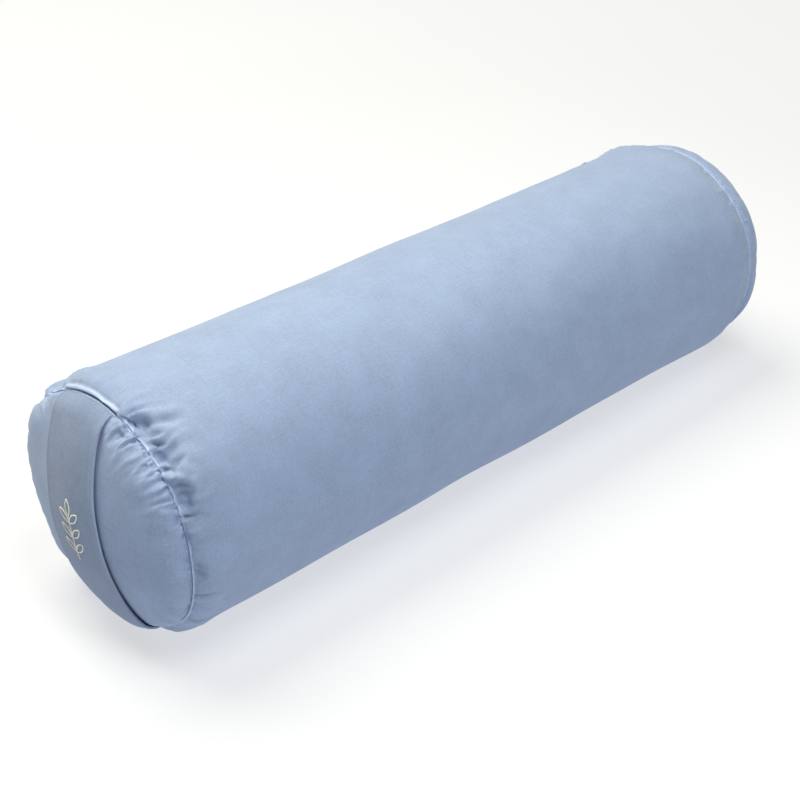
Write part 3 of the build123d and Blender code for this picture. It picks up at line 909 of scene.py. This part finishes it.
def on_strap(v, w, height):
    """Points at height above the strap's inner face, v across it and w up it, both from its middle."""
    v, w, height = np.broadcast_arrays(*[np.asarray(a, float) for a in (v, w, height)])
    r = np.hypot(v, w)
    s = s_from_radius(np.minimum(r, SEAM_R))
    yz = v[..., None] * STRAP_ACROSS + w[..., None] * STRAP_UP
    phi = np.arctan2(yz[..., 2], yz[..., 1])
    gap = 0.1 + (STRAP_GAP - 0.1) * smooth(s, 3, 20)
    edge = smooth(abs(v), 17, 32) * smooth(s, 8, 30)
    wave = 0.45 * np.sin(w / 11.5 + v / 19) * np.sin(w / 26 + 1) * smooth(s, 3, 25)
    wave = wave + 0.35 * np.sin(v / 6.3 + w / 40) * bell(s, 10, 9)
    level = gap + height + 0.5 * edge + wave * (height > 0.3)
    return surface(NEAR, s, phi, level, 0.12)


def strap_section():
    """The strap's cross-section as (v, height) all round: a folded band, puffed along its two folds."""
    half, r = STRAP_W / 2, STRAP_THICK / 2
    flat = half - r
    from_folds = np.concatenate([[0, 0.9, 1.8, 2.8, 4.0, 5.5, 7.5], np.linspace(10, flat, 12)])
    right = {round(float(flat - a), 4) for a in from_folds}

    def fold(middle, first, last):
        turns = [radians(a) for a in np.linspace(first, last, 7)]
        return [(middle + r * cos(a), r + (r + 0.1) * sin(a)) for a in turns]

    section = []
    for v in sorted(right | {-v for v in right}):
        from_fold = flat - abs(v)
        puff = 0.22 * float(bell(from_fold, 1.0, 1.6)) - 0.18 * float(bell(from_fold, 4.2, 1.6))
        section.append((v, STRAP_THICK + puff))
    section += fold(flat, 80, -80)
    section += [(float(v), 0.0) for v in np.linspace(flat, -flat, 19)]
    return np.array(section + fold(-flat, -100, -260))


def strap_half(name, up):
    """From the strap's middle to where it goes into the seam, up or down the end."""
    section = strap_section()
    v, height = section[:, 0], section[:, 1]
    inner_r = float(profile(NEAR, 35.6)[1])
    rows = [(t, None) for t in np.concatenate([[0, 0.012, 0.03], np.linspace(0.06, 1, 26)])]
    rows += [(None, s) for s in np.arange(34, 5, -1.6)]
    rows += [(None, s) for s in (4.2, 3.4, 2.7, 2.0, 1.4, 0.9, 0.5, 0.2, 0.0)]
    points, uv, painted_highlight = [], [], []
    length = np.zeros(len(v))
    before = None
    for t, s in rows:
        r = inner_r if s is None else float(profile(NEAR, s)[1])
        w = up * np.sqrt(np.maximum(r**2 - v**2, 0)) * (t if s is None else 1)
        thin = 1.0 if s is None else 0.5 + 0.5 * float(smooth(s, 0.0, 5.0))
        dive = 0.0 if s is None else -0.7 * float(1 - smooth(s, 0.0, 1.6))
        ring = on_strap(v, w, height * thin + dive)
        if before is not None:
            length = length + np.linalg.norm(ring - before, axis=1)
        before = ring
        points.append(ring)
        uv.append(np.stack([v + 40, up * length], -1) * MM)
        # A painted highlight lightens the strap along its two folds.
        painted_highlight.append(0.5 * bell(STRAP_W / 2 - abs(v), 0.2, 0.8) * (height > 0.4))
    points, uv, painted_highlight = map(np.concatenate, (points, uv, painted_highlight))
    return finish_mesh(name, points, rod_faces(len(rows), len(v)), uv, None, painted_highlight)


for name, up in (("strap_upper", 1), ("strap_lower", -1)):
    half_strap = add(strap_half(name, up), None, strap_cloth, "strap_cloth", "handle_strap")
    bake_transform(half_strap)


# ---- Sprig sewn on the strap ----

LEAF_LENGTH, LEAF_WIDTH, TOP_LEAF = 14.5, 5.4, 13.0
STEM_FOOT, STEM_TOP, FIRST_PAIR, PAIR_STEP = -24, 13.5, -17.0, 12.5
STITCH_LENGTH, STITCH_STEP, STITCH_SLANT, SPRIG_THREAD_R = 2.1, 1.0, 0.16, 0.42


def on_stem(y):
    return 0.6 * np.sin(y / 9)


def sprig_lines():
    """Lines of the sprig, x to the right and y up: a stem, and both edges of each leaf."""
    y = np.linspace(STEM_FOOT, STEM_TOP, 60)
    lines = [np.stack([on_stem(y), y], -1)]
    leaves = [(STEM_TOP, 90, TOP_LEAF)]
    for pair in range(3):
        leaves += [(FIRST_PAIR + PAIR_STEP * pair, angle, LEAF_LENGTH) for angle in (38, 142)]
    t = np.linspace(0, 1, 26)
    for base, angle, length in leaves:
        ca, sa = cos(radians(angle)), sin(radians(angle))
        for edge in (1, -1):
            u, w = length * t, edge * LEAF_WIDTH / 2 * np.sin(pi * t) ** 0.8
            lines.append(np.stack([on_stem(base) + u * ca - w * sa, base + u * sa + w * ca], -1))
    return lines


def sprig():
    """Stem stitch: short overlapping threads that slant a little across each line."""
    paths = []
    for line in sprig_lines():
        length = np.concatenate([[0], np.cumsum(np.linalg.norm(np.diff(line, axis=0), axis=1))])
        for begin in np.arange(0, length[-1] - 0.8, STITCH_STEP):
            d = np.linspace(begin, min(begin + STITCH_LENGTH, length[-1]), 7)
            t = np.linspace(-1, 1, 7)
            x, y = np.interp(d, length, line[:, 0]), np.interp(d, length, line[:, 1])
            ax, ay = np.gradient(x), np.gradient(y)
            size = np.hypot(ax, ay)
            x, y = x - STITCH_SLANT * t * ay / size, y + STITCH_SLANT * t * ax / size
            paths.append(on_strap(-x, y, STRAP_THICK + 0.20 * np.cos(pi * t / 2) ** 0.5))
    return tube_mesh("strap_sprig", paths, SPRIG_THREAD_R, 6, lead=(1, 0, 0))


add(sprig(), "handle", sprig_thread, "sprig_thread", "handle_embroidery")


# ---- Stitches in the cover ----


def end_stitches(side):
    """Topstitching round an end panel, over the strap's ends at the near one."""
    step = 2 * pi / END_STITCHES
    holes = step * np.arange(END_STITCHES)
    inside = np.array([side * (HALF - 12), 0, AXIS])

    def at(phi):
        strap = strap_share(phi) if side == NEAR else 0
        level = end_relief(side, STITCH_S, phi) + strap * (STRAP_THICK * 0.72 + 0.3)
        return surface(side, STITCH_S + 1.4 * strap, phi, level)

    starts, ends = at(holes + 0.14 * step), at(holes + 0.86 * step)
    name = f"{END_NAMES[side]}_seam_stitches"
    return stitches(name, starts, ends, outward_normals(starts, inside), 0.35, 0.45)


for side, end in END_NAMES.items():
    add(end_stitches(side), "bolster", cover_thread, "cover_thread", f"{end}_seam_thread")


def wrap_stitches(name, rows, pitch=3.0):
    """Rows of stitches on the main panel. A row is a function from the distance along it to side, s and phi,
    and its length."""

    def on_wrap(side, s, phi):
        s, phi = np.array([s]), np.array([phi])
        return surface(side, s, phi, wrap_relief(side, s, phi) + 0.1)

    steps = [(at, i) for at, length in rows for i in range(int(length / pitch))]
    starts, ends = [
        np.concatenate([on_wrap(*at(pitch * (i + t))) for at, i in steps]) for t in (0.12, 0.88)
    ]
    return stitches(name, starts, ends, np.tile(ZIP_Z, (len(starts), 1)), 0.35, 0.2)


def closing_row(side):
    return lambda d: (side, -2.5 - d, closing_line(side, -2.5 - d)), 36.0


def zip_row(x, y, along_x, length):
    """A row round the zip from x, y in the zip's frame, along its x or else its y."""

    def at(d):
        to_x, to_y = (x + d, y) if along_x else (x, y + d)
        side = NEAR if to_x < 0 else FAR
        return side, s_at(side, to_x), ZIP_ANGLE + atan(to_y / FACET)

    return at, length


closing_rows = [closing_row(side) for side in (NEAR, FAR)]
zip_rows = [zip_row(-SEWN_X, y, True, 2 * SEWN_X) for y in (-SEWN_Y, SEWN_Y)]
zip_rows += [zip_row(x, -SEWN_Y + 0.5, False, 2 * SEWN_Y - 1) for x in (-SEWN_X, SEWN_X)]
for name, rows, node in (
    ("closing_seam_stitches", closing_rows, "closing_seam_thread"),
    ("zip_topstitching", zip_rows, "zip_topstitch"),
):
    add(wrap_stitches(name, rows), "bolster", cover_thread, "cover_thread", node)


# ---- Zip ----


def in_zip(points):
    """From the zip's frame to the CAD's."""
    p = np.asarray(points, float).reshape(-1, 3)
    return ZIP_ORIGIN + p[:, :1] * np.array([1, 0, 0]) + p[:, 1:2] * ZIP_Y + p[:, 2:] * ZIP_Z


def zip_tape(name, side):
    """A woven tape with a corded inner edge under the coil and a selvedge along its outer edge."""
    section = [(0.75, -2.35), (0.9, -2.12), (1.6, -2.06), (3.0, -2.05), (3.5, -1.88), (4.0, -1.84),
               (4.5, -1.95), (5.0, -2.12), (7.0, -2.14), (10.0, -2.14), (13.5, -2.14), (14.8, -2.08),
               (15.6, -2.06), (16.0, -2.3), (15.6, -2.56), (14.8, -2.6), (13.5, -2.54), (10.0, -2.54),
               (5.0, -2.54), (3.5, -2.64), (1.6, -2.64), (0.9, -2.6)]
    section, n = np.array(section), len(section)
    xs = np.linspace(-TAPE_X, TAPE_X, 144)
    rings = [np.stack([np.full(n, x), side * section[:, 0], section[:, 1]], -1) for x in xs]
    around = np.concatenate([[0], np.cumsum(np.linalg.norm(np.diff(section, axis=0), axis=1))])
    uv = np.stack([np.repeat(xs, n), np.tile(around, len(xs))], -1) * MM
    points = in_zip(np.concatenate(rings))
    return finish_mesh(name, points, rod_faces(len(xs), n), uv, None, np.zeros(len(points)))


TOOTH_PITCH = 1.5
COIL_REACH = 277.2
COIL_WIRE_R = 0.27


def zip_coil(name, side):
    """One wound coil. Its heads interlock with the other coil's."""
    turns = int(2 * COIL_REACH / TOOTH_PITCH) - 1
    t = np.arange(turns * 12 + 1) / 12
    start = -COIL_REACH + (0.3 if side > 0 else 0.3 + TOOTH_PITCH / 2)
    swing = np.cos(2 * pi * t)
    y = 1.18 - 1.52 * np.sign(swing) * abs(swing) ** 0.8
    x = start + TOOTH_PITCH * t
    z = -1.15 + 0.60 * np.sin(2 * pi * t)
    return tube_mesh(name, [in_zip(np.stack([x, side * y, z], -1))], COIL_WIRE_R, 5, lead=(1, 0, 0.001))


for make, slot, how, material in (
    (zip_tape, "zip_tape", "woven", tape_cloth),
    (zip_coil, "zip_coil", "wound", coil_nylon),
):
    for half, side in (("upper", -1), ("lower", 1)):
        add(make(f"{slot}_{half}_{how}", side), "bolster", material, slot, f"{slot}_{half}")


def inset(outline, amount):
    """A closed outline, drawn counter-clockwise, moved inwards."""
    p = np.asarray(outline, float)
    back, on = p - np.roll(p, 1, 0), np.roll(p, -1, 0) - p
    back /= np.linalg.norm(back, axis=1, keepdims=True)
    on /= np.linalg.norm(on, axis=1, keepdims=True)
    n = np.stack([-(back + on)[:, 1], (back + on)[:, 0]], -1)
    n /= np.linalg.norm(n, axis=1, keepdims=True)
    half = np.sqrt(np.clip((1 + (back * on).sum(1, keepdims=True)) / 2, 0.2, 1))
    return p + n * amount / half


def mirrored(outline, side):
    """A counter-clockwise outline, or for side -1 its mirror image in x, counter-clockwise again."""
    return outline if side > 0 else [(x, -y) for x, y in reversed(outline)]


def rounded_box(x0, x1, y0, y1, r, steps=5):
    """A rectangle with rounded corners, counter-clockwise."""
    points = []
    left, right, low, high = x0 + r, x1 - r, y0 + r, y1 - r
    for cx, cy, a0 in ((right, low, -90), (right, high, 0), (left, high, 90), (left, low, 180)):
        for a in np.linspace(a0, a0 + 90, steps):
            points.append((cx + r * cos(radians(a)), cy + r * sin(radians(a))))
    return points


def stack(loops):
    """Points of outlines laid one above another, from (outline, z)."""
    return np.concatenate([np.column_stack([loop, np.full(len(loop), z)]) for loop, z in loops])


def slab(outline, z0, z1, bevel):
    """Points and faces of an upright slab with rounded edges, from a counter-clockwise outline."""
    loops = []
    for z, up, angles in ((z0, 1, (0, 30, 60, 90)), (z1, -1, (90, 60, 30, 0))):
        for a in angles:
            edge = inset(outline, bevel * (1 - sin(radians(a))))
            loops.append((edge, z + up * bevel * (1 - cos(radians(a)))))
    n, last = len(outline), (len(loops) - 1) * len(outline)
    caps = [tuple(range(n - 1, -1, -1)), tuple(range(last, last + n))]
    return stack(loops), strip_faces(len(loops), n, True) + caps


def joined(name, parts, place):
    """One object from several (points, faces), each a closed shape, put in place by a function."""
    points, faces, start = [], [], 0
    for p, f in parts:
        points.append(p)
        faces += [tuple(start + v for v in face) for face in f]
        start += len(p)
    ob = finish_mesh(name, place(np.concatenate(points)), faces)
    ob.data.set_sharp_from_angle(angle=radians(50))
    return ob


def zip_stops(name, boxes):
    parts = [slab(rounded_box(x0, x1, y0, y1, 0.35), -2.05, 0.05, 0.25) for x0, x1, y0, y1 in boxes]
    return joined(name, parts, in_zip)


add(
    zip_stops("zip_top_stops_crimped", [(277.7, 279.9, 0.45, 3.0), (277.7, 279.9, -3.0, -0.45)]),
    "bolster", zip_metal, "zip_metal", "zip_top_stops",
)
add(
    zip_stops("zip_bottom_stop_crimped", [(-279.9, -277.7, -3.0, 3.0)]),
    "bolster", zip_metal, "zip_metal", "zip_bottom_stop",
)


def at_slider(points):
    return in_zip(np.asarray(points) + [SLIDER_X, 0, 0])


def slider_outline():
    """Seen from above: two rounded shoulders at the front and a narrower tail."""
    half = [(-6.0, 2.2), (-5.7, 3.0), (-4.9, 3.5), (-3.4, 3.7), (-1.6, 3.85), (0.6, 4.15), (2.2, 4.4),
            (3.8, 4.5), (5.0, 4.3), (5.75, 3.7), (6.0, 2.9), (5.85, 2.1), (5.3, 1.3), (4.95, 0.5)]
    # counter-clockwise: along the lower side to +x, then back along the upper side
    return [(x, -y) for x, y in half] + half[::-1]


def bail():
    """Points and faces of the loop on the slider's top, a flat band bent over along a path in x and z."""
    path = [(3.0, 0.5), (3.0, 1.4), (2.85, 1.95), (2.4, 2.18), (1.2, 2.25), (-1.2, 2.25), (-2.4, 2.18),
            (-2.85, 1.95), (-3.0, 1.4), (-3.0, 0.5)]
    section = [(-0.3, -1.15), (0.3, -1.15), (0.38, -1.0), (0.4, 0), (0.38, 1.0), (0.3, 1.15), (-0.3, 1.15),
               (-0.38, 1.0), (-0.4, 0), (-0.38, -1.0)]
    run = np.gradient(np.array(path), axis=0)
    run /= np.linalg.norm(run, axis=1, keepdims=True)
    points = []
    for (x, z), (dx, dz) in zip(path, run):
        points += [(x + dz * depth, y, z - dx * depth) for depth, y in section]
    return np.array(points), rod_faces(len(path), len(section))


def slider():
    """Two plates joined by a wall on each side, and the bail."""
    outline, wall = slider_outline(), rounded_box(-4.4, 4.0, 3.22, 3.82, 0.28, 4)
    parts = [slab(outline, -0.05, 0.75, 0.22), slab(outline, -3.85, -2.85, 0.25)]
    parts += [slab(mirrored(wall, side), -1.8, 0.1, 0.15) for side in (1, -1)]
    return joined("zip_slider_cast", parts + [bail()], at_slider)


add(slider(), "slider", zip_metal, "zip_metal", "zip_slider")


def pull_tab():
    """A flat tab with a hole near its tip and two arms to a bar through the bail."""
    hole_x, hole_r, bar_r = -22.5, 1.6, 0.42
    outline = np.array(rounded_box(-27.0, -4.4, -3.5, 3.5, 2.4, 12))
    outline[:, 1] *= 1 - 0.16 * bell(outline[:, 0], -10, 5)
    angles = np.unwrap(np.arctan2(outline[:, 1], outline[:, 0] - hole_x))
    hole, flared = (
        np.stack([hole_x + r * np.cos(angles), r * np.sin(angles)], -1) for r in (hole_r, 1.1 * hole_r)
    )
    face, edge = inset(outline, 0.2), inset(outline, 0.06)
    loops = [(face, -0.4), (edge, -0.32), (outline, -0.2), (outline, 0.2), (edge, 0.32), (face, 0.4),
             (flared, 0.4), (hole, 0.25), (hole, -0.25), (flared, -0.4)]
    parts = [(stack(loops), hoop_faces(len(loops), len(outline)))]
    arm = [(-5.6, 1.6), (-4.2, 1.66), (0, 1.66), (0.35, 1.8), (0.42, 2.1), (0.35, 2.4), (0, 2.54),
           (-4.4, 2.54), (-5.6, 2.6)]
    parts += [slab(mirrored(arm, side), -0.4, 0.4, 0.12) for side in (1, -1)]
    a = 2 * pi * np.arange(12) / 12
    bar = [np.stack([bar_r * np.cos(a), np.full(12, y), bar_r * np.sin(a)], -1) for y in (-2.3, 0, 2.3)]
    parts.append((np.concatenate(bar), rod_faces(3, 12)))
    return joined("zip_pull_tab_cast", parts, lambda p: at_slider(p + [0, 0, TAB_LEVEL]))


add(pull_tab(), "pull_tab", zip_metal, "zip_metal", "zip_pull_tab")


def care_label():
    """A blank satin label sewn inside the cover, slightly curled."""
    xs, ys = np.linspace(60, 95, 29), np.linspace(5.5, 15.5, 9)
    points, uv = [], []
    for level in (0.0, -0.16):
        for x in xs:
            for y in ys:
                curl = 0.10 * sin((x - 60) / 5.5) * sin((y - 5.5) / 10 * pi)
                points.append((x, y, -2.83 + level + min(curl, 0.02)))
                uv.append((x * MM, y * MM))
    rows, columns = len(xs), len(ys)
    size = rows * columns
    faces = strip_faces(rows, columns) + [tuple(reversed(f)) for f in strip_faces(rows, columns, offset=size)]
    grid = np.arange(size).reshape(rows, columns)
    edge = np.concatenate([grid[0], grid[1:, -1], grid[-1, -2::-1], grid[-2:0:-1, 0]]).tolist()
    for p, q in zip(edge, edge[1:] + edge[:1]):
        faces.append((p, size + p, size + q, q))
    return finish_mesh("care_label_satin", in_zip(points), faces, uv, None, np.zeros(len(points)))


add(care_label(), "bolster", label_satin, "label_satin", "care_label")


# ---- Stuffed liner ----

LINER_N = 192
LINER_OUT, LINER_IN, FILL_OUT = 2.3, 2.9, 3.1  # depths of the liner's two faces and of the fill's


def liner_level(side, s, phi, depth):
    """Level of a layer of the liner, deeper under the zip and under the cover's gathers."""
    x = ENDS[side].unrolled + s
    under_zip = bell(turn_between(phi, ZIP_ANGLE), 0, 0.26) ** 2 * (1 - smooth(x, 286, 300))
    under_gathers = bell(s, 0, 17) * (1.0 if side == NEAR else 0.3)
    return -(depth + 2.2 * under_zip + 4.0 * under_gathers)


def liner_ring(side, s, depth, n=LINER_N):
    phi = 2 * pi * np.arange(n) / n if n > 1 else np.zeros(1)
    return surface(side, s, phi, liner_level(side, s, phi, depth))


def layer_rows(start):
    """(side, s) of rings along the tube, from s = start at the near end to the same at the far end."""
    at_end = [0, -1.5, -3.5, -6, -9, -12, -15.5, -19, -23, -27.5, -32, -37, -42, -48, -55]
    at_end = [s for s in at_end if s <= start]
    near, far = [
        [(side, s) for s in at_end + [s_at(side, x) for x in np.arange(262, 0, -20)]] for side in (NEAR, FAR)
    ]
    return near + far[::-1]


def liner_wrap():
    """The liner's tube, outer face and then inner face."""
    rows = layer_rows(0)
    rings = [liner_ring(side, s, LINER_OUT) for side, s in rows]
    rings += [liner_ring(side, s, LINER_IN) for side, s in reversed(rows)]
    n, count = LINER_N, len(rings)
    xs = np.array([side * (ENDS[side].unrolled + s) for side, s in rows + rows[::-1]])
    round_it = TUBE_R * 2 * pi * np.arange(n) / n
    uv = np.stack([np.repeat(xs, n), np.tile(round_it, count)], -1) * MM
    points, faces = np.concatenate(rings), hoop_faces(count, n)
    return finish_mesh("liner_wrap_cloth", points, faces, uv, 2 * pi * TUBE_R * MM, np.zeros(count * n))


def disc_rings(side, lowest):
    """(s, count) of rings on an end, from s = lowest to its middle."""
    at_rim = (0, 2, 4.5, 7.5, 11, 15, 19, 23, 27, 31, 36, 41, 47, 54, 62)
    in_middle = ((35, 96), (27, 96), (18, 48), (9, 24), (0, 1))
    return [(s, LINER_N) for s in at_rim if s >= lowest] + [(ENDS[side].arc - k, n) for k, n in in_middle]


def liner_end(side):
    """A round of the liner, inner face and then outer face."""
    rings = disc_rings(side, 0)
    order = [(s, n, LINER_IN) for s, n in reversed(rings)] + [(s, n, LINER_OUT) for s, n in rings]
    points = np.concatenate([liner_ring(side, s, depth, n) for s, n, depth in order])
    uv = np.concatenate([disc_uv(side, s, 2 * pi * np.arange(n) / n) for s, n, _ in order])
    faces = ring_faces([n for _, n, _ in order])
    return finish_mesh(f"liner_end_{END_NAMES[side]}_cloth", points, faces, uv, None, np.zeros(len(uv)))


def kapok_fill():
    """The stuffing, lumpy under its liner."""
    rows = [(NEAR, s, n) for s, n in reversed(disc_rings(NEAR, 2))]
    rows += [(side, s, LINER_N) for side, s in layer_rows(-1.5)]
    rows += [(FAR, s, n) for s, n in disc_rings(FAR, 2)]
    points = []
    for side, s, n in rows:
        ring = liner_ring(side, s, FILL_OUT, n)
        lumps = np.array([noise.fractal(Vector(p / 9), 0.8, 2.1, 4) for p in ring])
        middle = np.array([side * min(abs(float(ring[0][0])), HALF - 30), 0, AXIS])
        ring = ring - outward_normals(ring, middle) * (0.5 + 0.45 * np.clip(lumps, -1, 1))[:, None]
        points.append(ring)
    return finish_mesh("kapok_stuffing", np.concatenate(points), ring_faces([n for _, _, n in rows]))


add(liner_wrap(), "bolster", liner_cotton, "liner_cloth", "liner_wrap")
for side, end in END_NAMES.items():
    add(liner_end(side), "bolster", liner_cotton, "liner_cloth", f"liner_end_{end}")
add(kapok_fill(), "bolster", kapok, "kapok", "kapok_fill")


def liner_stitches():
    """Slanting hand stitches that shut the liner."""
    starts, ends = [], []
    for x in np.arange(-79, 78, 4.0):
        side = NEAR if x < 0 else FAR
        for found, along, turn in ((starts, 0, -0.011), (ends, 1.6, 0.011)):
            phi = np.array([ZIP_ANGLE + pi + turn])
            found.append(surface(side, np.array([s_at(side, x + along)]), phi, -2.05))
    starts, ends = np.concatenate(starts), np.concatenate(ends)
    return stitches("liner_hand_stitches", starts, ends, np.tile(-ZIP_Z, (len(starts), 1)), 0.3, 0.1)


add(liner_stitches(), "bolster", liner_cord, "liner_thread", "liner_closing_stitch")


# ---- Floor, lights and camera ----

# The floor's glow near the bolster and far from it, and the world's brightness at the horizon and overhead
FLOOR_GLOW, FAR_GLOW, HORIZON, OVERHEAD = 0.60, 0.95, 0.85, 0.05


def floor():
    half = 6.0
    corners = [(-half, -half, 0), (half, -half, 0), (half, half, 0), (-half, half, 0)]
    mesh = bpy.data.meshes.new("floor")
    mesh.from_pydata(corners, [], [(0, 1, 2, 3)])
    ob = bpy.data.objects.new("floor", mesh)
    ob.location.z = -0.0004
    bpy.context.scene.collection.objects.link(ob)
    g = Graph("floor")
    body = g.mix(g.noise(g.place, 3.0, 2.0), (0.30, 0.32, 0.35, 1), (0.32, 0.34, 0.37, 1))
    g.put(g.shader, {"Base Color": body, "Roughness": 0.9, "Specular IOR Level": 0.1})
    # Lit from below as well, like a light table, which keeps the bolster's shadow pale, and more so further
    # out, where the lamps don't reach.
    distance = g.node("VectorMath", {"Vector": g.place}, operation="LENGTH"), "Value"
    g.put(g.shader, {"Emission Color": (1, 1, 1, 1)})
    g.put(g.shader, {"Emission Strength": g.span(distance, 0.9, 3.5, FLOOR_GLOW, FAR_GLOW)})
    mesh.materials.append(g.material)


def area_light(name, place, target, size, power, colour):
    light = bpy.data.lights.new(name, "AREA")
    light.shape, light.size, light.size_y = "RECTANGLE", size[0], size[1]
    light.energy, light.color = power, colour
    ob = bpy.data.objects.new(name, light)
    bpy.context.scene.collection.objects.link(ob)
    ob.location = place
    ob.rotation_euler = (Vector(target) - Vector(place)).to_track_quat("-Z", "Y").to_euler()


def studio_world():
    """A pale backdrop round the horizon that darkens overhead."""
    world = bpy.data.worlds.new("studio")
    bpy.context.scene.world = world
    world.use_nodes = True
    tree = world.node_tree

    def math(operation, *values):
        """A node whose inputs are numbers, or links from another node's output."""
        made = tree.nodes.new("ShaderNodeMath")
        made.operation = operation
        for socket, value in zip(made.inputs, values):
            if isinstance(value, float):
                socket.default_value = value
            else:
                tree.links.new(value, socket)
        return made.outputs[0]

    direction = tree.nodes.new("ShaderNodeSeparateXYZ")
    tree.links.new(tree.nodes.new("ShaderNodeTexCoord").outputs["Generated"], direction.inputs[0])
    level = math("SUBTRACT", 1.0, math("MAXIMUM", direction.outputs["Z"], 0.0))
    strength = math("MULTIPLY_ADD", math("POWER", level, 10.0), HORIZON, OVERHEAD)
    background = tree.nodes["Background"]
    background.inputs["Color"].default_value = (0.97, 0.985, 1.0, 1)
    tree.links.new(strength, background.inputs["Strength"])


floor()
studio_world()
area_light("key", (-0.25, 0.9, 2.0), (-0.1, 0, 0.1), (1.3, 1.3), 55, (1.0, 0.925, 0.75))
area_light("fill", (0.0, -1.1, 2.0), (0, 0, 0.1), (1.4, 1.4), 9, (0.93, 0.96, 1.0))
area_light("near_fill", (-0.22, -0.5, 1.4), (-0.2, 0, 0.12), (0.4, 0.7), 9, (1.0, 0.965, 0.88))

camera = bpy.data.objects.new("camera", bpy.data.cameras.new("camera"))
bpy.context.scene.collection.objects.link(camera)
back = Vector((-0.569335, -0.618818, 0.541223)).normalized()
right = Vector((0, 0, 1)).cross(back).normalized()
camera.matrix_world = Matrix((right, back.cross(right), back)).transposed().to_4x4()
camera.location = (-0.76734, -0.79279, 0.76457)
camera.data.lens, camera.data.sensor_width = 66.44, 36
bpy.context.scene.camera = camera
bpy.context.scene.view_settings.view_transform = "Standard"
